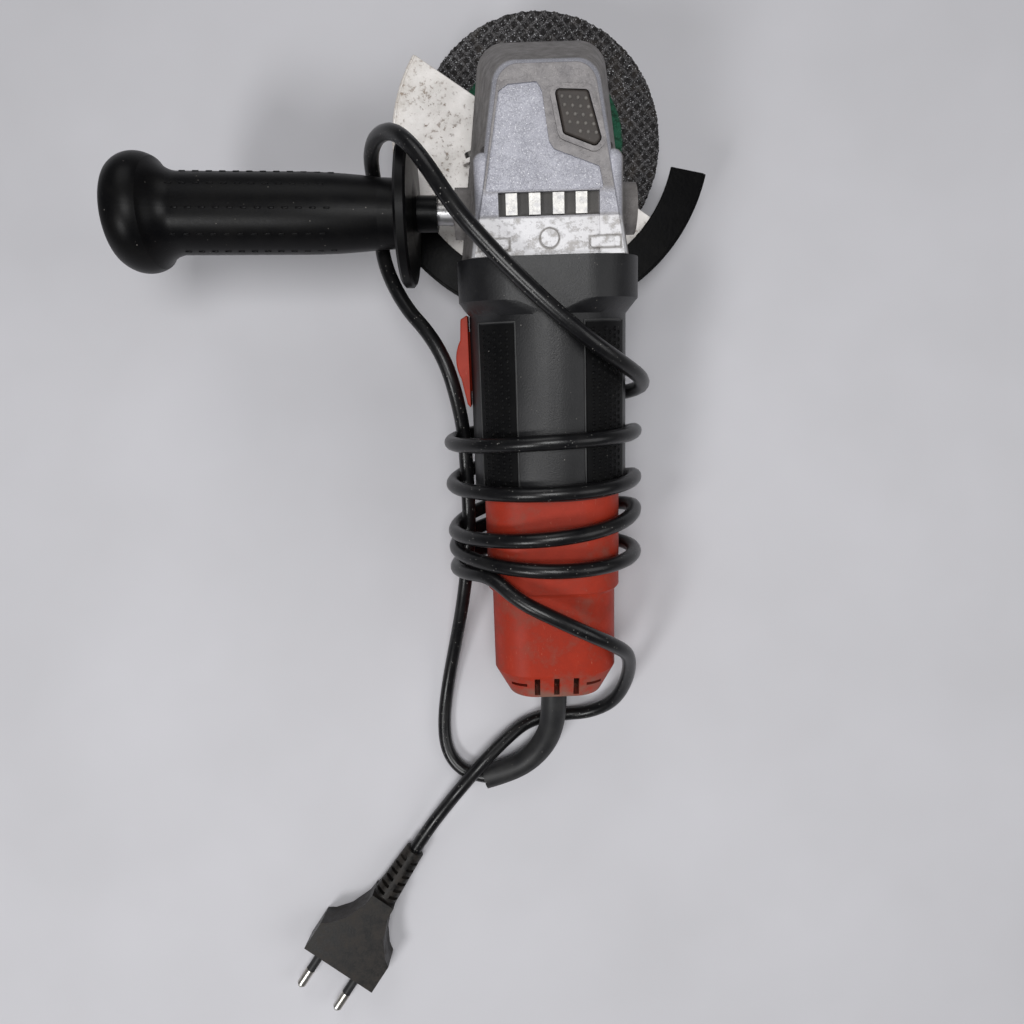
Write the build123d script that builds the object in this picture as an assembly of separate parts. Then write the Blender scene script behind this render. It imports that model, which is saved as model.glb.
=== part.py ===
"""Small mains angle grinder, lying disc-down on a bench as it comes to rest.

Every piece is modelled in the tool's own axes: the spindle axis is Z, the motor axis is Y with
the disc end at +Y, and they cross at the zero point. The whole tool is then tipped nose-up by the
angle at which the guard's lower edge and the underside of the tail both touch the bench, and
moved so that the origin is at the middle of its footprint, on the bench.
"""
import os
from math import atan2, cos, degrees, radians, sin, tan

from build123d import *

# ---- driving sizes, mm -------------------------------------------------------------------
HEAD_TOP = 28.0            # top face of the gear case above the motor axis
HEAD_FLOOR = -22.0         # lower face of the gear case
HEAD_REAR = -50.0          # joint between gear case and motor housing
HEAD_NOSE = 25.6           # foremost point of the gear case
HEAD_HALF = 31.5           # half width of the gear case at its rear
HEAD_SHOULDER = -5.0       # level where the gear case is widest
CASE_WALL = 3.0
COLLAR_HALF = 32.2         # half width of the motor housing's front collar
COLLAR_HEIGHT = 60.0
COLLAR_LENGTH = 14.0
BARREL_RADIUS = 29.2       # motor housing where the hand goes round it
BARREL_REAR = -134.5       # joint between motor housing and rear casing
CASING_WIDTH = 51.0
CASING_HEIGHT = 50.0
CASING_DROP = 1.0          # centre of the rear casing below the motor axis
CASING_STEP = -172.0       # where the rear casing gets narrower
CASING_TAPER = -204.5      # where its end starts to slope
TAIL_END = -215.5
CASING_WALL = 2.4
DISC_RADIUS = 50.2         # a 115 mm disc, worn down
DISC_THICKNESS = 3.0
DISC_LEVEL = -43.0         # upper face of the disc
SPINDLE_RADIUS = 6.0
THREAD_RADIUS = 7.0        # M14 spindle nose
SPINDLE_END = -57.0
NECK_RADIUS = 20.5         # guard neck of the bearing flange
PLATE_RADIUS = 59.0        # outside of the zinc-plated guard
PLATE_LEVEL = -34.0        # upper face of the guard plate
GUARD_DROP = -58.0         # lower edge of the guard
BAND_RADIUS = 68.5         # outside of the black guard band
BAND_DROP = -49.0
SHEET = 1.6                # guard sheet thickness
HANDLE_Y = -32.0           # side handle axis behind the spindle axis
HANDLE_LENGTH = 102.0
GRIP_RADIUS = 14.2
KNOB_RADIUS = 21.0
FLANGE_RADIUS = 26.0
STUD_RADIUS = 4.0          # M8 handle stud
HANDLE_LEAN = 1.8          # degrees that the handle leans forward
MOTOR_BORE = 26.8          # inside of the motor housing
CORE_RADIUS = 17.5         # armature core
SHAFT_RADIUS = 5.0
COMMUTATOR_RADIUS = 11.0
GEAR_TEETH = 36
PINION_TEETH = 12
GEAR_PITCH_RADIUS = 21.0   # at the large end of the teeth
TOOTH_FACE = 6.0           # length of a tooth along the cone
RUN = 0.05                 # radial clearance of a running fit
GAP = 0.35                 # clearance between pieces that move past each other
SWITCH_TRAVEL = 8.0
CORD_D = 5.6
SLEEVE_D = 11.0

PINION_PITCH_RADIUS = GEAR_PITCH_RADIUS * PINION_TEETH / GEAR_TEETH
BEARING_Y = -29.0          # front face of the armature's front bearing
FAN_FRONT = -51.0
STATOR_FRONT = -69.0
STATOR_REAR = -115.0
COMMUTATOR_REAR = -137.0
REAR_BEARING_Y = -142.0
BRUSH_Y = -129.5
CLAMP_TURN = 200.0         # degrees round the neck from the clamp band's screw to the guard's zero

# ---- shared helpers ----------------------------------------------------------------------


def rod(radius, z0, z1, x=0.0, y=0.0):
    """Upright cylinder from z0 to z1."""
    return Pos(x, y, (z0 + z1) / 2) * Cylinder(radius, abs(z1 - z0))


def rod_y(radius, y0, y1, x=0.0, z=0.0):
    """Cylinder along the motor axis direction."""
    return Pos(x, (y0 + y1) / 2, z) * Rot(90, 0, 0) * Cylinder(radius, abs(y1 - y0))


def block(x0, x1, y0, y1, z0, z1):
    """Box given by its faces."""
    centre = Pos((x0 + x1) / 2, (y0 + y1) / 2, (z0 + z1) / 2)
    return centre * Box(abs(x1 - x0), abs(y1 - y0), abs(z1 - z0))


def turned(points):
    """Solid of revolution about the spindle axis from (radius, height) points."""
    face = Plane.XZ * make_face(Polyline(*points, close=True))
    return revolve(face, Axis.Z)


def turned_y(points):
    """Solid of revolution about the motor axis from (radius, y) points."""
    return revolve(make_face(Polyline(*points, close=True)), Axis.Y)


def rounded_y(width, height, corner, y, drop=0.0):
    """Rounded rectangle that faces along the motor axis."""
    return Plane.XZ.offset(-y) * Pos(0, -drop) * RectangleRounded(width, height, corner)


def polar(radius, angle):
    return radius * cos(radians(angle)), radius * sin(radians(angle))


def sector(inner, outer, start, end, z0, z1):
    """Part of a flat ring between two directions, in degrees."""
    middle = (start + end) / 2
    a, b = polar(inner, start), polar(outer, start)
    c, d = polar(outer, end), polar(inner, end)
    outline = Line(a, b) + ThreePointArc(b, polar(outer, middle), c)
    outline += Line(c, d) + ThreePointArc(d, polar(inner, middle), a)
    return extrude(Pos(0, 0, z0) * make_face(outline), z1 - z0)


# ---- gear case ---------------------------------------------------------------------------

CASE_SCREWS = [(21.5, 22.5), (-21.5, 22.5), (26.6, -14.0), (-26.6, -14.0)]
CASE_SCREW_SEAT = -37.0
CASE_SCREW_END = -61.0
PANEL_DEPTH = 1.0
BAND_DEPTH = 2.6
PANEL = [(-15.6, 0.6), (-12.6, 2.6), (-3.2, 3.2), (-1.6, 0.4), (0.4, -14.6), (2.0, -17.0),
         (16.8, -22.6), (18.2, -29.6), (-21.0, -29.6)]
BUTTON = [(2.6, 0.4), (13.0, -0.2), (17.2, -14.6), (15.4, -16.6), (5.2, -12.6)]
BUTTON_CORNER = 1.2
BUTTON_PIN = (10.0, -8.0)
BUTTON_PIN_RADIUS = 2.4
BUTTON_FLOOR = 19.5        # underside of the button at rest
BUTTON_WELL = 15.0         # floor of the button's well
BUTTON_TOP = 29.6
SPRING_FLOOR = 19.2
SPRING_TURNS = 5
SPRING_SPACE = 4.3         # radius of the room for the spring in the button
BARS = [-12.4, -4.7, 3.2, 10.8]
FLANGE_SCREWS = [(17.6, 17.4), (-17.6, 17.4), (24.4, -31.0), (-24.4, -31.0)]
HANDLE_SEAT = 32.6         # face of the handle boss, out from the spindle axis
HANDLE_HOLE = 14.0
TAP_RADIUS = 3.4


def head_section(z, rear, front, nose, corner, inset=0.0):
    """Plan outline of the gear case at one height."""
    back = HEAD_REAR
    points = [(-rear + inset, back), (rear - inset, back), (front - inset, nose - inset)]
    points.append((-front + inset, nose - inset))
    outline = make_face(Polyline(*points, close=True))
    outline = fillet(outline.vertices().sort_by(Axis.Y)[-2:], corner - inset / 2)
    return Pos(0, 0, z) * outline


def head_body():
    low = head_section(HEAD_FLOOR, HEAD_HALF - 2.0, 22.0, HEAD_NOSE - 0.4, 10.0)
    middle = head_section(HEAD_SHOULDER, HEAD_HALF, 22.0, HEAD_NOSE, 10.0)
    upper = head_section(HEAD_TOP - 3.5, HEAD_HALF - 4.6, 17.2, 11.2, 8.0)
    crown = head_section(HEAD_TOP, HEAD_HALF - 6.4, 15.0, 8.4, 7.0)
    return loft([low, middle, upper, crown], ruled=True)


def head_chamber():
    """Space for the gears, open downwards."""
    low = head_section(HEAD_FLOOR - 1, HEAD_HALF - 2.0, 22.0, HEAD_NOSE - 0.4, 10.0, CASE_WALL)
    middle = head_section(HEAD_SHOULDER, HEAD_HALF, 22.0, HEAD_NOSE, 10.0, CASE_WALL)
    upper = head_section(15.0, HEAD_HALF - 3.4, 18.4, 15.4, 8.5, CASE_WALL)
    hollow = loft([low, middle, upper], ruled=True)
    return hollow & block(-40, 40, BEARING_Y + 1.5, 40, -40, 40)


def button_outline(grow=0.0):
    outline = fillet(make_face(Polyline(*BUTTON, close=True)).vertices(), BUTTON_CORNER)
    return offset(outline, grow) if grow else outline


def handle_direction(side):
    """Placement of a handle hole: its own Z points outwards from the gear case."""
    lean = HANDLE_LEAN if side < 0 else 0.0
    turn = Rot(0, 90 * side, 0)
    return Pos(side * HANDLE_SEAT, HANDLE_Y, 0) * Rot(0, 0, -lean) * turn


def gear_case():
    case = head_body() - head_chamber()
    rear_web = -39.0
    case -= rod_y(24.0, HEAD_REAR - 1, rear_web) & block(-40, 40, -60, 0, -18.5, 40)
    case += rod_y(16.0, -39.5, BEARING_Y + 1.5)
    for side in (-1, 1):
        case += handle_direction(side) * Pos(0, 0, -6.2) * Cylinder(9.0, 12.4)
    for x in (-21.5, 21.5):
        case += rod_y(3.6, -43.0, -20.0, x, 23.6) & block(-30, 30, -43, -20, 10, 40)
        case += Pos(x, -20.0, 23.6) * Sphere(3.6)
    panel = fillet(make_face(Polyline(*PANEL, close=True)).vertices(), 0.9)
    case -= extrude(Pos(0, 0, HEAD_TOP - PANEL_DEPTH) * panel, 5)
    case -= block(-16.8, 16.8, -37.4, -29.9, HEAD_TOP - BAND_DEPTH, HEAD_TOP + 2)
    for x in BARS:
        case += block(x - 1.9, x + 1.9, -37.0, -30.2, HEAD_TOP - 4, HEAD_TOP - 0.5)
    case -= block(-16.8, 16.8, HEAD_REAR - 1, -37.4, HEAD_TOP - 0.8, HEAD_TOP + 2)
    case += rod(2.9, HEAD_TOP - 2, HEAD_TOP + 0.6, 0, -44.6)
    for side in (-1, 1):
        pad = Pos(side * 18.6, -46.2, HEAD_TOP - 2) * RectangleRounded(10.4, 3.8, 1.7)
        case += extrude(pad, 2.6)
    rim = Pos(0, 0, HEAD_TOP - 3) * button_outline(1.9)
    case += extrude(rim, 3.9)
    case -= extrude(Pos(0, 0, BUTTON_WELL) * button_outline(GAP), 20)
    case -= rod(BUTTON_PIN_RADIUS + RUN, -5, HEAD_TOP, *BUTTON_PIN)
    case += rod(8.6, 4.6, 15.5)
    case -= rod(7.0 + RUN, 4.0, 14.6)
    case -= rod_y(13.0, BEARING_Y - 8.0, BEARING_Y)
    case -= rod_y(10.6, -45, BEARING_Y + 2)
    for side in (-1, 1):
        hole = Pos(0, 0, -HANDLE_HOLE / 2 + 0.01) * Cylinder(TAP_RADIUS, HANDLE_HOLE)
        case -= handle_direction(side) * hole
    for x, z in CASE_SCREWS:
        case -= rod_y(2.0, HEAD_REAR - 1, -20, x, z)
        case -= rod_y(3.1, CASE_SCREW_SEAT, -15 if z > 0 else -20, x, z)
    for x, y in FLANGE_SCREWS:
        case += rod(3.2, HEAD_FLOOR, HEAD_FLOOR + 10, x, y) & head_body()
        case -= rod(1.7, HEAD_FLOOR - 1, HEAD_FLOOR + 9, x, y)
    case -= block(-4.5, 4.5, HEAD_REAR - 1, -38, -40, -18)
    return case


def gear_case_screws():
    """Four pan-head screws that hold the gear case to the motor housing."""
    screws = []
    for x, z in CASE_SCREWS:
        screw = rod_y(2.0 - RUN, CASE_SCREW_END, CASE_SCREW_SEAT, x, z)
        screw += rod_y(2.9, CASE_SCREW_SEAT, CASE_SCREW_SEAT + 2.2, x, z)
        screw -= rod_y(1.1, CASE_SCREW_SEAT + 1.0, CASE_SCREW_SEAT + 3, x, z)
        screws.append(screw)
    return Compound(children=screws)


def bearing_flange():
    """Die-cast plate that closes the gear case and carries the guard neck."""
    plate_floor = HEAD_FLOOR - 4.0
    outline = head_section(plate_floor, HEAD_HALF - 3.5, 21.0, HEAD_NOSE - 1.4, 9.0)
    outline = outline & Pos(0, 0, plate_floor) * Pos(0, 10) * Rectangle(80, 98)
    flange = extrude(outline, 4.0)
    flange += rod(19.4, HEAD_FLOOR, -14.4)
    flange += rod(NECK_RADIUS, PLATE_LEVEL - 1.8, plate_floor)
    flange -= rod(16.0, -25.0, -14.0)
    flange -= rod(11.0, -40.0, -24.0)
    for x, y in FLANGE_SCREWS:
        flange -= rod(1.8, plate_floor - 1, HEAD_FLOOR + 1, x, y)
    return flange


def flange_screws():
    screws = []
    for x, y in FLANGE_SCREWS:
        screw = rod(1.65, HEAD_FLOOR - 4.0, HEAD_FLOOR + 8, x, y)
        screw += rod(3.1, HEAD_FLOOR - 6.2, HEAD_FLOOR - 4.0, x, y)
        screw -= Pos(x, y, HEAD_FLOOR - 6.2) * Box(3.6, 0.8, 1.6)
        screw -= Pos(x, y, HEAD_FLOOR - 6.2) * Box(0.8, 3.6, 1.6)
        screws.append(screw)
    return Compound(children=screws)


def ball_bearing(bore, outside, width):
    """Closed deep-groove bearing, about Z, from 0 to width."""
    third = (outside - bore) / 3
    race = turned([(bore, 0), (outside, 0), (outside, width), (bore, width)])
    for level in (0.0, width - 0.4):
        race -= turned([(bore + third, level), (outside - third, level),
                        (outside - third, level + 0.4), (bore + third, level + 0.4)])
    return race


def spindle_bearing():
    return Pos(0, 0, -25.0) * ball_bearing(SPINDLE_RADIUS + RUN, 16.0, 10.0)


def spindle_top_bush():
    return turned([(4.0 + RUN, 5.0), (7.0, 5.0), (7.0, 14.4), (4.0 + RUN, 14.4)])


def dust_seal():
    points = [(SPINDLE_RADIUS + 0.1, -30.0), (11.0, -30.0), (11.0, -25.2), (8.5, -25.2)]
    points += [(8.5, -27.4), (SPINDLE_RADIUS + 0.1, -27.4)]
    return turned(points)


# ---- spindle and what turns with it ------------------------------------------------------


def bevel_tooth(pitch_radius, other_radius, thickness):
    """One straight tooth in the XZ plane, its pitch line pointing away from the apex."""
    cone = (pitch_radius ** 2 + other_radius ** 2) ** 0.5
    down = atan2(other_radius, pitch_radius)
    along = Vector(cos(down), 0, -sin(down))
    up = Vector(sin(down), 0, cos(down))
    across = Vector(0, 1, 0)
    sections = []
    for scale in (1.0, 1.0 - TOOTH_FACE / cone):
        centre = along * (cone * scale)
        corners = [(-0.72 * thickness, -1.6), (0.72 * thickness, -1.6)]
        corners += [(0.24 * thickness, 1.0), (-0.24 * thickness, 1.0)]
        corners = [centre + across * (a * scale) + up * (b * scale) for a, b in corners]
        sections.append(make_face(Polyline(*corners, close=True)))
    return loft(sections, ruled=True)


TOOTH = 1.5                # thickness of a tooth on the pitch line
ROOT = 1.35                # depth of the root below the pitch cone


def cone_points(pitch_radius, other_radius):
    """(radius, distance from the apex plane) of the root line's two ends."""
    cone = (pitch_radius ** 2 + other_radius ** 2) ** 0.5
    ends = []
    for scale in (1.0, 1.0 - TOOTH_FACE / cone):
        radius = (pitch_radius - ROOT * other_radius / cone) * scale
        away = (other_radius + ROOT * pitch_radius / cone) * scale
        ends.append((radius, away))
    return ends


def drive_gear():
    """Large straight-toothed bevel gear, teeth up, with four holes for the lock pin."""
    outer, inner = cone_points(GEAR_PITCH_RADIUS, PINION_PITCH_RADIUS)
    bore = SPINDLE_RADIUS
    profile = [(bore, -inner[1]), (inner[0], -inner[1]), (outer[0], -outer[1])]
    profile += [(outer[0], -12.6), (9.0, -12.6), (9.0, -13.6), (bore, -13.6)]
    gear = turned(profile)
    tooth = bevel_tooth(GEAR_PITCH_RADIUS, PINION_PITCH_RADIUS, TOOTH)
    for index in range(GEAR_TEETH):
        gear += Rot(0, 0, index * 360 / GEAR_TEETH) * tooth
    pin_angle = degrees(atan2(BUTTON_PIN[1], BUTTON_PIN[0]))
    pin_radius = (BUTTON_PIN[0] ** 2 + BUTTON_PIN[1] ** 2) ** 0.5
    for quarter in range(4):
        gear -= rod(BUTTON_PIN_RADIUS + GAP, -20, 0, *polar(pin_radius, pin_angle + 90 * quarter))
    return gear


def spindle():
    """Hardened steel spindle with an M14 nose and a clearance groove."""
    nose = DISC_LEVEL + 1.0
    points = [(0, SPINDLE_END), (THREAD_RADIUS - 1.2, SPINDLE_END), (THREAD_RADIUS, SPINDLE_END + 1.2)]
    points += [(THREAD_RADIUS, nose), (SPINDLE_RADIUS, nose), (SPINDLE_RADIUS, 3.6)]
    points += [(4.0, 3.6), (4.0, 14.0), (0, 14.0)]
    shaft = turned(points)
    return shaft - turned([(5.2, 0.6), (8, 0.6), (8, 1.7), (5.2, 1.7)])


def gear_ring():
    """Retaining ring in the groove above the gear."""
    ring = turned([(5.25, 0.7), (8.4, 0.7), (8.4, 1.6), (5.25, 1.6)])
    return ring - block(0, 12, -1.6, 1.6, 0, 2)


def inner_flange():
    rim = DISC_LEVEL
    points = [(SPINDLE_RADIUS, -36.4), (10.0, -36.4), (20.0, rim + 2.4), (20.0, rim)]
    points += [(15.0, rim), (15.0, rim + 0.8), (SPINDLE_RADIUS + 1.0, rim + 0.8)]
    points += [(SPINDLE_RADIUS + 1.0, -38.0), (SPINDLE_RADIUS, -38.0)]
    return turned(points)


def grinding_disc():
    """Worn bonded disc: 22 mm bore, with the pattern of its glass-fibre mesh left to the finish."""
    under = DISC_LEVEL - DISC_THICKNESS
    points = [(11.1, under), (DISC_RADIUS - 0.7, under), (DISC_RADIUS, under + 1.0)]
    points += [(DISC_RADIUS - 0.4, DISC_LEVEL), (11.1, DISC_LEVEL)]
    return turned(points)


def lock_nut():
    top = DISC_LEVEL - DISC_THICKNESS
    points = [(THREAD_RADIUS, top + 1.6), (11.0, top + 1.6), (11.0, top), (20.0, top)]
    points += [(20.0, top - 2.6), (16.0, top - 5.4), (THREAD_RADIUS, top - 5.4)]
    nut = turned(points)
    for index in range(4):
        nut -= rod(2.4, top - 6, top - 2.4, *polar(15.0, 45 + 90 * index))
    return nut


# ---- armature ----------------------------------------------------------------------------


def pinion():
    outer, inner = cone_points(PINION_PITCH_RADIUS, GEAR_PITCH_RADIUS)
    body = turned([(3.0, -inner[1]), (inner[0], -inner[1]), (outer[0], -outer[1]),
                   (6.6, -outer[1] - 1.0), (6.6, -26.4), (3.0, -26.4)])
    tooth = bevel_tooth(PINION_PITCH_RADIUS, GEAR_PITCH_RADIUS, TOOTH)
    for index in range(PINION_TEETH):
        body += Rot(0, 0, (index + 0.5) * 360 / PINION_TEETH) * tooth
    return TO_MOTOR_AXIS * body


TO_MOTOR_AXIS = Rot(0, 0, 90) * Rot(0, 90, 0) * Rot(0, 0, 180)   # the apex's -Z becomes -Y


def pinion_nut():
    inner = cone_points(PINION_PITCH_RADIUS, GEAR_PITCH_RADIUS)[1]
    face = -inner[1]
    nut = Plane.XZ.offset(-face) * RegularPolygon(4.6, 6)
    return extrude(nut, -3.4) - rod_y(3.0, face - 1, face + 6)


def armature_shaft():
    tip = -cone_points(PINION_PITCH_RADIUS, GEAR_PITCH_RADIUS)[1][1] + 4.4
    points = [(0, tip), (3.0, tip), (3.0, -26.4), (SHAFT_RADIUS, -26.4)]
    points += [(SHAFT_RADIUS, REAR_BEARING_Y + 1.0), (3.5, REAR_BEARING_Y + 1.0)]
    points += [(3.5, REAR_BEARING_Y - 7.0), (0, REAR_BEARING_Y - 7.0)]
    return turned_y(points)


SLOTS = 12


def slot_bars(radius, half_width, y0, y1):
    bars = []
    for index in range(SLOTS):
        bar = block(radius, CORE_RADIUS - 1.6, y0, y1, -half_width, half_width)
        bars.append(Rot(0, index * 360 / SLOTS, 0) * bar)
    return bars


def armature_core():
    core = rod_y(CORE_RADIUS, STATOR_REAR + 3, STATOR_FRONT - 3) - rod_y(SHAFT_RADIUS, -200, 0)
    core -= slot_bars(10.6, 1.75, STATOR_REAR, STATOR_FRONT)
    for index in range(SLOTS):
        mouth = block(10.6, CORE_RADIUS + 1, -130, -60, -0.7, 0.7)
        core -= Rot(0, index * 360 / SLOTS, 0) * mouth
    return core


def armature_windings():
    """End turns in front of and behind the core, joined by the bundles in its slots."""
    front, rear = STATOR_FRONT - 3, STATOR_REAR + 3
    ends = turned_y([(6.0, front), (15.4, front), (15.9, front + 2.5), (14.0, front + 7), (6.0, front + 7)])
    ends += turned_y([(6.0, rear), (15.4, rear), (15.9, rear - 2.5), (12.6, rear - 7), (6.0, rear - 7)])
    ends += slot_bars(10.7, 1.65, rear - 1, front + 1)
    return ends


def commutator():
    ring = rod_y(COMMUTATOR_RADIUS, COMMUTATOR_REAR, STATOR_REAR - 6.5)
    ring -= rod_y(SHAFT_RADIUS, -150, -100)
    for index in range(2 * SLOTS):
        cut = block(COMMUTATOR_RADIUS - 1.2, COMMUTATOR_RADIUS + 1, COMMUTATOR_REAR - 1, -123.5, -0.2, 0.2)
        ring -= Rot(0, (index + 0.5) * 180 / SLOTS, 0) * cut
    return ring


FAN_RADIUS = 25.4
FAN_LENGTH = 9.0


def fan():
    """Moulded fan: hub, back plate and twelve blades."""
    front = FAN_FRONT
    wheel = rod_y(9.0, front - FAN_LENGTH, front) + rod_y(FAN_RADIUS, front - 1.6, front)
    for index in range(12):
        blade = block(8.0, FAN_RADIUS - 0.4, front - FAN_LENGTH, front - 1.0, -0.8, 0.8)
        wheel += Rot(0, index * 30, 0) * Pos(0, 0, 3.0) * blade
    return wheel - rod_y(SHAFT_RADIUS, -100, 0)


# ---- motor housing -----------------------------------------------------------------------

ROD_HALF = 3.2             # half height of the switch rod
ROD_X = 25.8               # middle of the switch rod, out from the motor axis
ROD_JOG = 22.0             # the same, inside the rear casing
ROD_BEND = -130.4
ROD_HOOK = -160.0
NECK_GAP = 0.6
SLIDER_FRONT = -68.0
SLIDER_REAR = -102.0
SLIDER_HALF = 7.0          # half height of the slider


def pad_space(side, grow=0.0, deep=0.0):
    """Wedge of the barrel's skin that a grip pad covers."""
    front, rear = -72.0 + grow, BARREL_REAR + 1.2 - grow
    inner, outer = BARREL_RADIUS - 1.4 - deep, BARREL_RADIUS + 0.5
    ring = rod_y(outer, rear, front) - rod_y(inner, rear - 1, front + 1)
    start, end = (24, 62) if side > 0 else (26, 58)
    wedge = extrude(Plane.XZ.offset(-front) * make_face(Polyline(
        (0, 0), polar(60, 90 - start * side + grow * side * 2),
        polar(60, 90 - end * side - grow * side * 2), close=True)), front - rear)
    return ring & wedge


def switch_channel():
    """Slot in the left wall for the slider's foot, and the way of the switch rod."""
    foot = block(-40, -24, SLIDER_REAR + 6 - GAP, SLIDER_FRONT - 6 + SWITCH_TRAVEL + GAP, -3.4, 3.4)
    half = ROD_HALF + GAP
    way = block(-ROD_X - 1.0, -ROD_X + 1.0, BARREL_REAR + 1.6, -66, -half, half)
    way += block(-ROD_X - 1.0, -ROD_JOG + 1.0, BARREL_REAR - 1, ROD_BEND + SWITCH_TRAVEL + 1, -half, half)
    bay_end = SLIDER_FRONT + SWITCH_TRAVEL + GAP
    bay_half = SLIDER_HALF + 0.4
    bay = block(-40, -20, SLIDER_FRONT - 1, bay_end, -bay_half, bay_half)
    return foot + way + (bay - rod_y(BARREL_RADIUS, -90, -40))


def motor_housing():
    """Black nylon barrel with its front collar and, inside the rear casing, the brush end."""
    collar_rear = HEAD_REAR - COLLAR_LENGTH
    collar = [rounded_y(2 * COLLAR_HALF, COLLAR_HEIGHT, 20.0, y) for y in (HEAD_REAR, collar_rear)]
    barrel = [rounded_y(2 * BARREL_RADIUS, 2 * BARREL_RADIUS, BARREL_RADIUS - 0.4, y)
              for y in (collar_rear - 5.0, BARREL_REAR)]
    body = loft(collar, ruled=True) + loft([collar[1], barrel[0]], ruled=True)
    body += loft(barrel, ruled=True)
    neck = CASING_HEIGHT / 2 - CASING_DROP - CASING_WALL - NECK_GAP
    body += rod_y(neck, REAR_BEARING_Y - 9.5, BARREL_REAR + 2)
    body -= rod_y(27.4, FAN_FRONT - FAN_LENGTH - 2, HEAD_REAR + 1)
    body -= rod_y(MOTOR_BORE, BARREL_REAR + 3, -55)
    body -= rod_y(neck - 2.4, REAR_BEARING_Y + 2.6, BARREL_REAR + 4)
    body -= rod_y(11.5, REAR_BEARING_Y - 20, BARREL_REAR)
    for x, z in CASE_SCREWS:
        body -= rod_y(2.0, CASE_SCREW_END - 0.5, HEAD_REAR + 1, x, z)
    for side in (-1, 1):
        body -= pad_space(side)
    for index in range(6):
        vent = block(12.5, 19.0, REAR_BEARING_Y - 12, REAR_BEARING_Y + 5, -2.6, 2.6)
        body -= Rot(0, 30 + 60 * index, 0) * vent
    for side in (-1, 1):
        body -= brush_cut(side)
    return body - switch_channel()



def brush_cut(side):
    low, high = sorted((side * (COMMUTATOR_RADIUS + 1.2), side * 24.0))
    return block(-4.6, 4.6, BRUSH_Y - 5.6, BRUSH_Y + 5.6, low, high)


def grip_pad(side):
    """Soft pebbled pad set into the barrel."""
    return pad_space(side, deep=-0.02)


# ---- rear casing -------------------------------------------------------------------------


def casing_form(shrink=0.0):
    """Outer form of the rear casing, or its inside when shrunk by the wall."""
    cut = 2 * shrink
    wide = [rounded_y(CASING_WIDTH - cut, CASING_HEIGHT - cut, 15.0 - shrink, y, CASING_DROP)
            for y in (BARREL_REAR, CASING_STEP + 1)]
    slim_width = CASING_WIDTH - 3.2 - cut
    slim_height = CASING_HEIGHT - 2.4 - cut
    slim = [rounded_y(slim_width, slim_height, 14.0 - shrink, y, CASING_DROP + 0.4)
            for y in (CASING_STEP - 1.0, CASING_TAPER + shrink / 2)]
    tail = rounded_y(CASING_WIDTH - 14.0 - cut, CASING_HEIGHT - 13.0 - cut, 11.0 - shrink,
                     TAIL_END + shrink, CASING_DROP)
    form = loft(wide, ruled=True) + loft([wide[1], slim[0]], ruled=True)
    return form + loft(slim, ruled=True) + loft([slim[1], tail], ruled=True)


CASING_SCREWS = [(19.0, -167.0), (-19.0, -167.0), (16.5, -194.0), (-16.5, -194.0)]
CLAMP_Y = -199.0


def casing_vents():
    """Slots through the sloping end: three upright, two lying, above and below."""
    cuts = []
    for x in (-7.6, 0.0, 7.6):
        cuts.append(block(x - 1.1, x + 1.1, TAIL_END + 1.0, CASING_TAPER - 1.5, -40, 40))
    for x in (-14.6, 14.6):
        cuts.append(block(x - 3.0, x + 3.0, TAIL_END + 5.5, TAIL_END + 7.0, -40, 40))
    return cuts


def casing_half(upper):
    """Half of the orange rear casing, split on the level of the motor axis."""
    shell = casing_form() - casing_form(CASING_WALL)
    shell -= block(-20, 20, BARREL_REAR - 0.5, BARREL_REAR + 0.5, -18, 18)
    for cut in casing_vents():
        shell -= cut - block(-40, 40, -300, 0, -13.0, 11.0)
    for x, y in CASING_SCREWS:
        shell += rod(3.6, -CASING_HEIGHT / 2, CASING_HEIGHT / 2 - 4, x, y) & casing_form(0.4)
    shell += block(-14, 14, CLAMP_Y - 4, CLAMP_Y + 4, -24, 19) & casing_form(0.4)
    shell -= block(-15, 15, CLAMP_Y - 5, CLAMP_Y + 5, -8.0, 30) & casing_form(CASING_WALL)
    for x in (-9.0, 9.0):
        shell -= rod(1.3, -16, 0, x, CLAMP_Y)
    shell -= rod_y(SLEEVE_D / 2, TAIL_END - 1, TAIL_END + 6)
    shell -= rod_y(SLEEVE_D / 2 + 1.6, TAIL_END + CASING_WALL + 0.1, TAIL_END + 6.0)
    shell -= rod_y(CORD_D / 2, TAIL_END, -195)
    for x, y in CASING_SCREWS:
        shell -= rod(1.6, -20, 9, x, y) + rod(3.1, -40, -17.0, x, y)
    half = block(-40, 40, TAIL_END - 5, BARREL_REAR, 0 if upper else -40, 40 if upper else 0)
    return shell & half


def casing_screws():
    screws = []
    for x, y in CASING_SCREWS:
        screw = rod(1.55, -17.0, 8.5, x, y) + rod(2.9, -19.2, -17.0, x, y)
        screws.append(screw - Pos(x, y, -19.2) * (Box(3.4, 0.8, 1.6) + Box(0.8, 3.4, 1.6)))
    return Compound(children=screws)


def cord_clamp():
    """Plastic bridge that presses the cord onto the lower casing."""
    bridge = block(-13, 13, CLAMP_Y - 3.2, CLAMP_Y + 3.2, -1.0, 5.4)
    bridge += block(-13, -6.2, CLAMP_Y - 3.2, CLAMP_Y + 3.2, -8.0, -1.0)
    bridge += block(6.2, 13, CLAMP_Y - 3.2, CLAMP_Y + 3.2, -8.0, -1.0)
    bridge -= rod_y(CORD_D / 2, CLAMP_Y - 5, CLAMP_Y + 5)
    for x in (-9.0, 9.0):
        bridge -= rod(1.5, -9, 6, x, CLAMP_Y)
    return bridge


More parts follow.
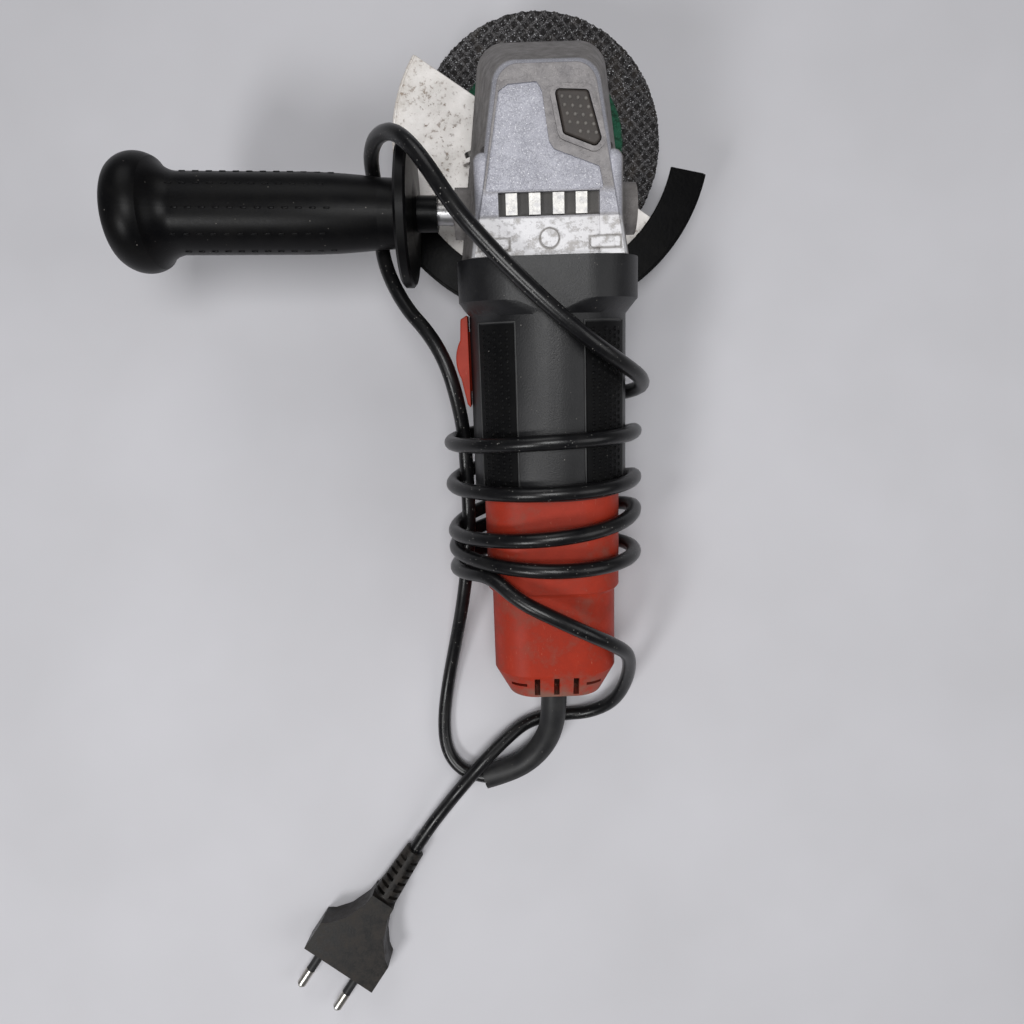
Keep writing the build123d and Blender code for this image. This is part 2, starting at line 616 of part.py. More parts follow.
def clamp_screws():
    screws = []
    for x in (-9.0, 9.0):
        screw = rod(1.3, -15, 5.4, x, CLAMP_Y) + rod(2.6, 5.4, 7.2, x, CLAMP_Y)
        screws.append(screw - Pos(x, CLAMP_Y, 7.2) * Box(3.4, 0.7, 1.4))
    return Compound(children=screws)


# ---- motor pieces that stand still -------------------------------------------------------


def stator_core():
    """Laminated ring with flats left and right and wide slots for the field coils."""
    core = rod_y(MOTOR_BORE, STATOR_REAR, STATOR_FRONT) - rod_y(CORE_RADIUS + 0.7, -200, 0)
    core &= block(-24.6, 24.6, -200, 0, -40, 40)
    for side in (-1, 1):
        slot = extrude(Plane.XZ.offset(60) * make_face(Polyline(
            (0, 0), (side * 40, 22), (side * 40, -22), close=True)), 70)
        core -= slot & (rod_y(22.6, -200, 0))
    return core


def field_coils():
    """Two saddle coils: a bundle over the top pole and one over the lower pole."""
    coils = []
    for side in (-1, 1):
        coil = None
        for y0, y1 in ((STATOR_FRONT, STATOR_FRONT + 5.5), (STATOR_REAR - 5.5, STATOR_REAR)):
            ring = rod_y(25.0, y0, y1) - rod_y(18.6, y0 - 1, y1 + 1)
            ring &= block(-24.2, 24.2, y0 - 1, y1 + 1, *sorted((side * 2.4, side * 30)))
            coil = ring if coil is None else coil + ring
        legs = rod_y(22.2, STATOR_REAR - 0.5, STATOR_FRONT + 0.5) - rod_y(18.6, -200, 0)
        legs &= block(-24.2, 24.2, -200, 0, *sorted((side * 2.4, side * 7.6)))
        coils.append(coil + legs)
    return Compound(children=coils)


def fan_baffle():
    """Thin ring that guides the air from the fan, held between barrel and stator."""
    return rod_y(MOTOR_BORE, -62.9, -61.2) - rod_y(19.5, -70, -50)


def front_bearing():
    return Rot(-90, 0, 0) * Pos(0, 0, BEARING_Y - 8.0) * ball_bearing(SHAFT_RADIUS + RUN, 13.0, 8.0)


def rear_bearing():
    ring = ball_bearing(3.5 + RUN, 9.5, 6.0)
    return Rot(-90, 0, 0) * Pos(0, 0, REAR_BEARING_Y - 6.0) * ring


def rear_bearing_cup():
    """Rubber cup that cushions the rear bearing in its web."""
    cup = rod_y(11.5, REAR_BEARING_Y - 8.5, REAR_BEARING_Y) - rod_y(9.5, REAR_BEARING_Y - 6.0, 0)
    return cup - rod_y(5.0, -200, 0)


def brush_holders():
    holders = []
    for side in (-1, 1):
        z0, z1 = sorted((side * 12.4, side * 20.4))
        tube = block(-4.2, 4.2, BRUSH_Y - 5.2, BRUSH_Y + 5.2, z0, z1)
        holders.append(tube - block(-3.3, 3.3, BRUSH_Y - 4.3, BRUSH_Y + 4.3, z0 - 1, z1 + 1))
    return Compound(children=holders)


def carbon_brushes():
    brushes = []
    for side in (-1, 1):
        z0, z1 = sorted((side * 9.0, side * 17.5))
        brush = block(-3.2, 3.2, BRUSH_Y - 4.2, BRUSH_Y + 4.2, z0, z1)
        brushes.append(brush - rod_y(COMMUTATOR_RADIUS + RUN, -150, -110))
    return Compound(children=brushes)


def brush_springs():
    """Flat coils of strip that press on the brushes, drawn as short spirals' outer form."""
    springs = []
    for side in (-1, 1):
        z0, z1 = sorted((side * 17.5, side * 20.2))
        coil = rod(2.9, z0, z1, 0, BRUSH_Y) - rod(2.1, z0 - 1, z1 + 1, 0, BRUSH_Y)
        springs.append(coil)
    return Compound(children=springs)


def switch_module():
    box = block(-15.0, 1.0, -186.0, -165.0, -10.5, 9.5)
    box += block(-13.0, -9.5, -165.0, ROD_HOOK - 1.2 - GAP, -2.5, 2.5)
    for z in (-7.0, 0.0, 7.0):
        box += block(-9.0, -5.0, -189.5, -186.0, z - 0.4, z + 0.4)
    return box


def suppression_capacitor():
    can = Pos(8.4, -178.0, -1.0) * Rot(90, 0, 0) * extrude(RectangleRounded(12.4, 15.0, 3.0), 8, both=True)
    for x in (6.0, 10.8):
        can += rod_y(0.5, -189.0, -185.5, x, -1.0)
    return can


# ---- lock button -------------------------------------------------------------------------


def lock_button():
    """Dark plastic button with a dotted face; its post reaches for the pin."""
    top = extrude(Pos(0, 0, BUTTON_FLOOR) * button_outline(), BUTTON_TOP - BUTTON_FLOOR)
    top = chamfer(top.edges().group_by(Axis.Z)[-1], 0.5)
    for row in range(4):
        for column in range(3):
            x = 5.6 + column * 3.0 + row * 1.0
            y = -2.4 - row * 3.4 - column * 0.3
            top += Pos(x, y, BUTTON_TOP) * Sphere(0.55)
    top -= rod(SPRING_SPACE, BUTTON_FLOOR - 1, BUTTON_FLOOR + 5, *BUTTON_PIN)
    return top - rod(BUTTON_PIN_RADIUS, BUTTON_FLOOR - 1, BUTTON_FLOOR + 7, *BUTTON_PIN)


def lock_pin():
    inner = cone_points(GEAR_PITCH_RADIUS, PINION_PITCH_RADIUS)[1]
    return rod(BUTTON_PIN_RADIUS, -inner[1] + 1.2, BUTTON_FLOOR + 7, *BUTTON_PIN)


def lock_spring():
    """Return spring round the pin, drawn at the length it is pressed to: its turns touch."""
    wire, radius = 0.5, 3.4
    pitch = 2 * wire - 0.1
    turns = Pos(*BUTTON_PIN, SPRING_FLOOR + wire) * Torus(radius, wire)
    for index in range(1, SPRING_TURNS):
        turns += Pos(*BUTTON_PIN, SPRING_FLOOR + wire + index * pitch) * Torus(radius, wire)
    return turns


# ---- guard -------------------------------------------------------------------------------

PLATE_START, PLATE_END = 146.0, 326.0
BAND_START, BAND_END = 214.0, 347.5


def guard_plate():
    """Zinc-plated half guard: collar, fan plate and bent-down skirt, pressed from sheet."""
    floor = PLATE_LEVEL - SHEET
    plate = sector(NECK_RADIUS + GAP, PLATE_RADIUS - 1.5, PLATE_START, PLATE_END, floor, PLATE_LEVEL)
    bore = NECK_RADIUS + GAP
    ring = turned([(bore, floor), (24.5, floor), (24.5, PLATE_LEVEL), (bore, PLATE_LEVEL)])
    collar = turned([(NECK_RADIUS + GAP, floor), (NECK_RADIUS + GAP + SHEET, floor),
                     (NECK_RADIUS + GAP + SHEET, -29.4), (NECK_RADIUS + GAP, -29.4)])
    skirt = sector(PLATE_RADIUS - SHEET, PLATE_RADIUS, PLATE_START, PLATE_END, GUARD_DROP, floor - 1.0)
    bend = sector(PLATE_RADIUS - SHEET - 1.4, PLATE_RADIUS - 0.7, PLATE_START, PLATE_END,
                  floor - 1.0, PLATE_LEVEL - 0.6)
    return plate + ring + collar + skirt + bend


def guard_band():
    """Black outer band riveted onto the guard plate, with its own skirt."""
    flange = sector(54.0, BAND_RADIUS - 0.9, BAND_START, BAND_END, PLATE_LEVEL, PLATE_LEVEL + SHEET)
    skirt = sector(BAND_RADIUS - SHEET, BAND_RADIUS, BAND_START, BAND_END, BAND_DROP, PLATE_LEVEL + 0.8)
    return flange + skirt


def guard_clamp():
    """Clamp band round the guard's collar, with two ears for its screw."""
    inner = NECK_RADIUS + GAP + SHEET
    band = turned([(inner, -33.6), (inner + 1.4, -33.6), (inner + 1.4, -29.4), (inner, -29.4)])
    for y in (-3.4, 1.8):
        band += block(inner + 0.6, inner + 9.0, y, y + 1.6, -33.6, -29.4)
    band -= block(inner - 1, inner + 3, -1.8, 1.8, -40, -20)
    band -= rod_y(1.4, -6, 6, inner + 5.4, -31.5)
    return Rot(0, 0, CLAMP_TURN) * band



def guard_clamp_screw():
    x = NECK_RADIUS + GAP + SHEET + 5.4
    screw = rod_y(1.35, -5.0, 6.4, x, -31.5) + rod_y(1.9, 3.4, 6.0, x, -31.5)
    screw += rod_y(1.9, -5.6, -3.4, x, -31.5)
    return Rot(0, 0, CLAMP_TURN) * screw


# ---- side handle -------------------------------------------------------------------------


def place_handle(shape):
    """From the handle's own axis (Z outwards, 0 at the boss face) to the tool."""
    return handle_direction(-1) * shape


def handle_grip():
    """Moulded grip: neck, waist and a knob with a rounded end."""
    start = 21.0
    end = start + HANDLE_LENGTH - 1.0
    outline = Line((0, start), (12.2, start))
    outline += Line((12.2, start), (12.4, start + 6.0))
    outline += ThreePointArc((12.4, start + 6.0), (13.8, start + 22), (GRIP_RADIUS, start + 38))
    outline += Line((GRIP_RADIUS, start + 38), (GRIP_RADIUS + 0.2, end - 24.0))
    outline += ThreePointArc((GRIP_RADIUS + 0.2, end - 24.0), (15.6, end - 18.2), (19.4, end - 14.0))
    outline += ThreePointArc((19.4, end - 14.0), (KNOB_RADIUS, end - 8.0), (18.6, end - 1.8))
    outline += ThreePointArc((18.6, end - 1.8), (16.6, end - 0.3), (14.0, end))
    outline += Line((14.0, end), (0, end))
    outline += Line((0, end), (0, start))
    grip = revolve(Plane.XZ * make_face(outline), Axis.Z)
    grip -= rod(STUD_RADIUS, start - 1, start + 26)
    return place_handle(grip)


def handle_flange():
    """Finger guard with its boss: a thin wide rim, dished on the inside."""
    points = [(STUD_RADIUS, 6.4), (6.4, 6.4), (6.4, 13.6), (12.0, 14.6), (FLANGE_RADIUS - 1.0, 15.2)]
    points += [(FLANGE_RADIUS, 16.0), (FLANGE_RADIUS, 18.6), (FLANGE_RADIUS - 1.2, 19.6)]
    points += [(12.2, 21.0), (STUD_RADIUS, 21.0)]
    return place_handle(turned(points))


def handle_stud():
    stud = turned([(0, -12.5), (3.0, -12.5), (TAP_RADIUS - RUN, -11.6), (TAP_RADIUS - RUN, 0.6),
                   (STUD_RADIUS, 0.6), (STUD_RADIUS, 46.0), (0, 46.0)])
    return place_handle(stud)


# ---- slide switch ------------------------------------------------------------------------


def switch_slider():
    """Orange slider with a thumb bump, running on the left of the barrel."""
    face = -BARREL_RADIUS - 0.4
    outline = Line((face, SLIDER_REAR), (face, SLIDER_FRONT))
    outline += Line((face, SLIDER_FRONT), (face - 2.6, SLIDER_FRONT - 1.5))
    outline += Line((face - 2.6, SLIDER_FRONT - 1.5), (face - 3.0, SLIDER_FRONT - 9))
    bulge = [(face - 3.0, SLIDER_FRONT - 9), (face - 4.8, SLIDER_FRONT - 16), (face - 3.2, SLIDER_FRONT - 23)]
    outline += ThreePointArc(*bulge)
    outline += Line((face - 3.2, SLIDER_FRONT - 23), (face - 1.2, SLIDER_REAR + 1.5))
    outline += Line((face - 1.2, SLIDER_REAR + 1.5), (face, SLIDER_REAR))
    slider = extrude(make_face(outline), SLIDER_HALF, both=True)
    foot = block(face, -ROD_X - 0.6, SLIDER_REAR + 6, SLIDER_FRONT - 6, -3.0, 3.0)
    slider += foot
    curve = rod_y(BARREL_RADIUS + GAP, -130, -40)
    return (slider - curve) + (foot & block(-40, 0, -130, 0, -3.0, 3.0))


def switch_rod():
    """Flat rod from the slider back to the switch."""
    half = ROD_HALF - 0.2
    rod_piece = block(-ROD_X - 0.6, -ROD_X + 0.6, ROD_BEND, SLIDER_FRONT - 8, -half, half)
    rod_piece += block(-ROD_X - 0.6, -ROD_JOG + 0.6, ROD_BEND, ROD_BEND + 1.4, -half, half)
    rod_piece += block(-ROD_JOG - 0.6, -ROD_JOG + 0.6, ROD_HOOK, ROD_BEND + 1.4, -half, half)
    return rod_piece + block(-ROD_JOG - 0.6, -9.0, ROD_HOOK - 1.2, ROD_HOOK, -half, half)


# ---- rest position -----------------------------------------------------------------------

TAIL_UNDERSIDE = -CASING_DROP - 0.4 - (CASING_HEIGHT - 2.4) / 2
TIP = atan2(TAIL_UNDERSIDE - GUARD_DROP, -CASING_TAPER - PLATE_RADIUS)
LIFT = PLATE_RADIUS * sin(TIP) - GUARD_DROP * cos(TIP)


def at_rest(shape):
    """Tip the tool nose-up and lift it onto the bench."""
    return Pos(0, 0, LIFT) * Rot(degrees(TIP), 0, 0) * shape


# ---- cord, sleeve and plug ---------------------------------------------------------------
# The route is given in the resting frame, in mm, and stays as chosen.

MOUTH = (13.5, -178.4, 6.0)          # where the cord leaves its sleeve
SLEEVE_ROUTE = [(42.2, -158.0, 13.8), (35.0, -169.2, 8.8), (24.6, -175.9, 6.6), MOUTH]
LEAD_ROUTE = [
    MOUTH, (6.6, -177.6, 4.6), (0.3, -173.5, 3.6), (-3.7, -166.0, 3.1), (-4.4, -154.5, 3.0),
    (-2.4, -140.0, 3.6), (1.8, -121.5, 9.0), (6.6, -102.0, 19.5), (9.6, -84.0, 26.0),
    (11.3, -67.3, 30.2), (11.2, -47.9, 35.1), (10.8, -30.6, 40.0), (8.4, -16.2, 48.0),
    (5.2, -5.2, 51.0), (-0.4, 5.4, 51.6), (-10.0, 17.0, 49.4), (-17.4, 33.2, 46.9),
    (-19.0, 47.0, 45.0), (-18.6, 57.0, 46.4), (-19.8, 64.8, 53.0), (-18.8, 69.2, 63.5),
    (-14.2, 69.6, 76.0), (-6.4, 65.2, 88.2), (2.4, 53.6, 95.2), (13.1, 35.6, 96.0),
    (25.6, 21.8, 93.0), (37.1, 10.5, 90.4), (49.1, 0.0, 87.2), (59.7, -7.7, 82.6),
    (69.4, -12.6, 74.6), (77.2, -15.1, 63.0), (80.2, -16.2, 49.2), (77.0, -16.1, 34.8),
    (67.0, -15.7, 21.2), (51.6, -16.3, 12.3), (35.1, -19.9, 12.1), (22.6, -27.5, 18.9),
]
TAIL_ROUTE = [
    (20.1, -86.6, 57.0), (30.1, -95.7, 62.3), (42.6, -102.2, 63.1), (55.1, -108.7, 60.1),
    (66.2, -114.7, 52.6), (73.4, -120.7, 40.4), (74.6, -133.0, 24.6), (70.4, -145.4, 12.5),
    (60.0, -152.0, 5.2), (47.0, -153.0, 3.0), (33.0, -155.0, 3.4), (21.5, -163.0, 8.0),
    (11.6, -171.6, 12.4), (2.4, -181.6, 12.4), (-5.2, -191.4, 8.6), (-12.1, -200.2, 6.9),
    (-18.4, -209.2, 6.9),
]
ARC_SHARE = 0.45           # share of the shorter run that an arc takes up
PLUG_LEVEL = 6.9           # middle of the flat plug above the bench
PLUG_HEADING = degrees(atan2(-0.818, -0.575))
COLLAR_END = 24.5          # the plug's ribbed collar, from where the cord enters it
PLUG_END = 58.6
PLUG_WIDTH = 34.6
PLUG_THICKNESS = 13.6
PIN_SPACING = 18.6
PIN_RADIUS = 2.0
PIN_LENGTH = 19.0
PIN_SLEEVE = 10.0
PIN_ROOT = 8.0
WRAP_FRONT = -109.0        # the wound part of the cord, along the motor axis
WRAP_REAR = -169.0
WRAP_INSIDE = 31.0         # clear radius inside the winding
STRAND_PLACE = (-32.6, -6.0)   # the strand that runs under the winding, on the left
BENCH_GAP = 0.3            # between the winding and the bench


def corner_radii(points):
    """Largest arc that fits each corner of a route, from the shorter of its two runs."""
    steps = [Vector(*b) - Vector(*a) for a, b in zip(points, points[1:])]
    radii = []
    for before, after in zip(steps, steps[1:]):
        turn = radians(before.get_angle(after))
        radii.append(ARC_SHARE * min(before.length, after.length) / tan(turn / 2))
    return radii


def along(points, section, name):
    """Solid swept along straight runs joined by tangent arcs."""
    radii = corner_radii(points)
    path = FilletPolyline(*points, radius=radii)
    start = Plane(origin=path @ 0, z_dir=path % 0)
    solid = sweep(start * section, path=path)
    share = solid.volume / (section.area * path.length)
    print(f"{name}: length {path.length:.1f}, smallest radius {min(radii):.1f}, volume share {share:.4f}")
    return solid


def sleeve_points():
    """Route of the sleeve: straight out of the casing, then down and round to the left."""
    inside = [CENTRE * at_rest(Pos(0, y, 0) * Vertex(0, 0, 0)) for y in (TAIL_END + 6.0, TAIL_END - 11.5)]
    return [tuple(point.center()) for point in inside] + SLEEVE_ROUTE


def cord_sleeve():
    """Rubber sleeve that stops the cord kinking, with a collar held inside the casing."""
    section = Circle(SLEEVE_D / 2 - 0.1) - Circle(CORD_D / 2 + 0.1)
    sleeve = along(sleeve_points(), section, "cord_sleeve")
    collar = rod_y(SLEEVE_D / 2 + 1.4, TAIL_END + CASING_WALL + 0.3, TAIL_END + 5.8)
    collar -= rod_y(SLEEVE_D / 2 - 0.1, TAIL_END, TAIL_END + 7)
    return sleeve + CENTRE * at_rest(collar)


def cord_inner():
    """The cord from its clamp to the mouth of the sleeve."""
    points = sleeve_points()
    points[0] = tuple((CENTRE * at_rest(Pos(0, CLAMP_Y + 6.0, 0) * Vertex(0, 0, 0))).center())
    return along(points, Circle(CORD_D / 2), "cord_inner")


def cord_lead():
    return along(LEAD_ROUTE, Circle(CORD_D / 2), "cord_lead")


def cord_tail():
    return along(TAIL_ROUTE, Circle(CORD_D / 2), "cord_tail")


def cord_wraps():
    """Outer shape of the turns wound round the body, one strand passing under them."""
    inner = Circle(WRAP_INSIDE).edges() + (Pos(*STRAND_PLACE) * Circle(CORD_D / 2 + 0.6)).edges()
    outer = Circle(WRAP_INSIDE + CORD_D).edges() + (Pos(*STRAND_PLACE) * Circle(1.5 * CORD_D + 0.6)).edges()
    ring = make_hull(outer) - make_hull(inner)
    length = WRAP_FRONT - WRAP_REAR
    turns = Pos(0, WRAP_FRONT, -0.5) * Rot(90, 0, 0) * extrude(ring, length)
    return CENTRE * at_rest(turns) - Pos(0, 0, BENCH_GAP - 50) * Box(500, 500, 100)


def place_plug(shape):
    """From the plug's own axes (X along the pins, Z up) to the bench."""
    return Pos(TAIL_ROUTE[-1][0], TAIL_ROUTE[-1][1], PLUG_LEVEL) * Rot(0, 0, PLUG_HEADING) * shape


def plug_body():
    """Flat two-pin plug moulded on the cord, with a ribbed collar."""
    half = PLUG_WIDTH / 2
    outline = [(COLLAR_END - 1, 5.4), (COLLAR_END + 4, 5.8), (COLLAR_END + 13, 9.4), (COLLAR_END + 19, 14.2)]
    outline += [(COLLAR_END + 21, half), (PLUG_END, half)]
    outline += [(x, -y) for x, y in reversed(outline)]
    flat = extrude(make_face(Polyline(*outline, close=True)), PLUG_THICKNESS / 2, both=True)
    profile = [(0, 0), (0, 4.2), (COLLAR_END, 5.6), (COLLAR_END, 0)]
    collar = revolve(make_face(Polyline(*profile, close=True)), Axis.X)
    for index in range(6):
        place = 4.0 + 3.4 * index
        groove = Pos(place, 0, 0) * Rot(0, 90, 0) * (Cylinder(8, 1.4) - Cylinder(3.6, 2))
        collar -= groove - Pos(place, 0, 0) * Box(4, 2.4, 20) - Pos(place, 0, 0) * Box(4, 20, 2.4)
    plug = flat + collar
    for side in (-1, 1):
        bore = Pos(PLUG_END - PIN_ROOT / 2, side * PIN_SPACING / 2, 0) * Rot(0, 90, 0)
        plug -= bore * Cylinder(PIN_RADIUS, PIN_ROOT + 0.01)
    return place_plug(plug)


def plug_pin(side, points):
    pin = revolve(make_face(Polyline(*points, close=True)), Axis.X)
    return place_plug(Pos(PLUG_END, side * PIN_SPACING / 2, 0) * pin)


def plug_pins():
    thin = PIN_RADIUS - 0.6
    points = [(-PIN_ROOT, 0), (-PIN_ROOT, thin), (PIN_SLEEVE, thin), (PIN_SLEEVE, PIN_RADIUS)]
    points += [(PIN_LENGTH - 1.6, PIN_RADIUS), (PIN_LENGTH - 0.4, PIN_RADIUS - 0.9), (PIN_LENGTH, 0)]
    return Compound(children=[plug_pin(side, points) for side in (-1, 1)])


def plug_pin_sleeves():
    thin = PIN_RADIUS - 0.6
    points = [(-PIN_ROOT, thin), (-PIN_ROOT, PIN_RADIUS), (0, PIN_RADIUS), (0, PIN_RADIUS - 0.15)]
    points += [(PIN_SLEEVE, PIN_RADIUS - 0.15), (PIN_SLEEVE, thin)]
    return Compound(children=[plug_pin(side, points) for side in (-1, 1)])


TOOL = {
    "gear_case": gear_case, "gear_case_screws": gear_case_screws, "bearing_flange": bearing_flange,
    "flange_screws": flange_screws, "spindle_bearing": spindle_bearing,
    "spindle_top_bush": spindle_top_bush, "dust_seal": dust_seal, "drive_gear": drive_gear,
    "spindle": spindle, "gear_ring": gear_ring, "inner_flange": inner_flange,
    "grinding_disc": grinding_disc, "lock_nut": lock_nut, "pinion": pinion,
    "pinion_nut": pinion_nut, "armature_shaft": armature_shaft, "armature_core": armature_core,
    "armature_windings": armature_windings, "commutator": commutator, "fan": fan,
    "motor_housing": motor_housing, "grip_pad_left": lambda: grip_pad(-1),
    "grip_pad_right": lambda: grip_pad(1), "rear_casing_upper": lambda: casing_half(True),
    "rear_casing_lower": lambda: casing_half(False), "casing_screws": casing_screws,
    "cord_clamp": cord_clamp, "clamp_screws": clamp_screws, "stator_core": stator_core,
    "field_coils": field_coils, "fan_baffle": fan_baffle, "front_bearing": front_bearing,
    "rear_bearing": rear_bearing, "rear_bearing_cup": rear_bearing_cup,
    "brush_holders": brush_holders, "carbon_brushes": carbon_brushes,
    "brush_springs": brush_springs, "switch_module": switch_module,
    "suppression_capacitor": suppression_capacitor, "lock_button": lock_button,
    "lock_pin": lock_pin, "lock_spring": lock_spring, "guard_plate": guard_plate,
    "guard_band": guard_band, "guard_clamp": guard_clamp, "guard_clamp_screw": guard_clamp_screw,
    "handle_grip": handle_grip, "handle_flange": handle_flange, "handle_stud": handle_stud,
    "switch_slider": switch_slider, "switch_rod": switch_rod,
}

os.makedirs("parts", exist_ok=True)
pieces = {name: at_rest(make()) for name, make in TOOL.items()}
corners = [piece.bounding_box() for piece in pieces.values()]
west, east = min(c.min.X for c in corners), max(c.max.X for c in corners)
south, north = min(c.min.Y for c in corners), max(c.max.Y for c in corners)
bench = min(c.min.Z for c in corners)
CENTRE = Pos(-(west + east) / 2, -(south + north) / 2, -bench)
CORD = {
    "cord_sleeve": cord_sleeve, "cord_inner": cord_inner, "cord_lead": cord_lead,
    "cord_wraps": cord_wraps, "cord_tail": cord_tail, "plug_body": plug_body,
    "plug_pins": plug_pins, "plug_pin_sleeves": plug_pin_sleeves,
}
for name, piece in pieces.items():
    export_step(CENTRE * piece, f"parts/{name}.step")
for name, make in CORD.items():
    export_step(make(), f"parts/{name}.step")
print(f"tip {degrees(TIP):.4f} lift {LIFT:.4f} centre {CENTRE.position.X:.4f} {CENTRE.position.Y:.4f}")
print(f"size {east - west:.2f} {north - south:.2f}")
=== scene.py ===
import random
from math import cos, exp, pi, radians, sin

import bmesh
import bpy
from mathutils import Matrix, Vector


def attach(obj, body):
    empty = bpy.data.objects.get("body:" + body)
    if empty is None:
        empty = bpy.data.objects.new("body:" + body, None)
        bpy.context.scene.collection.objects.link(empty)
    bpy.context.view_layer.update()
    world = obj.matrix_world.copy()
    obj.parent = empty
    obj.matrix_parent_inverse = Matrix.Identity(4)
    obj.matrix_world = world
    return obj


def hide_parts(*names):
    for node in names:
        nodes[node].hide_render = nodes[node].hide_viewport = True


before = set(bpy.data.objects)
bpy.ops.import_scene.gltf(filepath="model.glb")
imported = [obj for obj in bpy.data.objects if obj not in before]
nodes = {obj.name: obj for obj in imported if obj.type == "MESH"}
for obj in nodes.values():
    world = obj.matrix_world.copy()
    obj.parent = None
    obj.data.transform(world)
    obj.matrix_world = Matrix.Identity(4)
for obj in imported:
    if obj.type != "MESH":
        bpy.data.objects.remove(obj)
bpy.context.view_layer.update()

# ---- gear case ----------------------------------------------------------------------------
# Die-cast aluminium head, blasted matt on its recessed top and rubbed brown on its worn
# sides. It is screwed to the motor housing, and its lower side is closed by the bearing flange.

TIP = radians(12.7038)                            # the tool lies nose-up by this much
SPINDLE_PLACE = Vector((0.0440943, 0.0776029, 0.0695549))
MM = 0.001
TOOL = Matrix.Translation(SPINDLE_PLACE) @ Matrix.Rotation(TIP, 4, "X") @ Matrix.Scale(MM, 4)
HEAD_TOP = 28.0
PANEL_LEVEL = (25.2, 26.2)  # the blasted top begins here, above the worn sides
RIM_LEVEL = (27.6, 27.85)
PLATE_FRONT = -37.6        # front edge of the worn plate behind the four bars
POCKET = (-37.5, -29.8)    # the dark slot that the bars stand in
POCKET_HALF = 16.4
BOSS = (0.0, -44.6, HEAD_TOP)
PAD_PLACE = (18.6, -46.2)  # middle of an oblong pad, to the side and along the tool
SAME_PLACE = 2e-6          # corners nearer than this, in metres, are one corner
FLAT_ANGLE = radians(0.6)
EDGE_ANGLE = radians(28)
CREASE_LEVEL = 24.0        # inner corners are rounded only above this, on the head's top


def crease_stays(edge):
    """True for an inner corner deep in the piece, where a moving piece may need the room."""
    middle = (edge.verts[0].co + edge.verts[1].co) / 2
    return not edge.is_convex and (TOOL.inverted() @ middle).z < CREASE_LEVEL


class Value:
    """One value in a finish. Arithmetic on it adds the Math nodes."""

    def __init__(self, finish, socket):
        self.finish = finish
        self.socket = socket

    def math(self, operation, *terms):
        settings = {"operation": operation}
        return self.finish.node("ShaderNodeMath", settings, dict(enumerate(terms)))

    def __add__(self, other):
        return self.math("ADD", self, other)

    def __radd__(self, other):
        return self.math("ADD", other, self)

    def __sub__(self, other):
        return self.math("SUBTRACT", self, other)

    def __rsub__(self, other):
        return self.math("SUBTRACT", other, self)

    def __mul__(self, other):
        return self.math("MULTIPLY", self, other)

    def __rmul__(self, other):
        return self.math("MULTIPLY", other, self)

    def __truediv__(self, other):
        return self.math("DIVIDE", self, other)

    def __rtruediv__(self, other):
        return self.math("DIVIDE", other, self)

    def __neg__(self):
        return self.math("MULTIPLY", self, -1.0)

    def __abs__(self):
        return self.math("ABSOLUTE", self)

    def root(self):
        return self.math("SQRT", self)

    def fraction(self):
        return self.math("FRACT", self)

    def larger(self, other):
        return self.math("MAXIMUM", self, other)

    def rising(self, low, high):
        """0 below low, 1 above high, and an even rise between them."""
        sockets = {"Value": self, "From Min": low, "From Max": high}
        return self.finish.node("ShaderNodeMapRange", {"clamp": True}, sockets)

    def band(self, low, high, soft):
        """1 between low and high, with soft edges."""
        return self.rising(low - soft, low + soft) * (1 - self.rising(high - soft, high + soft))


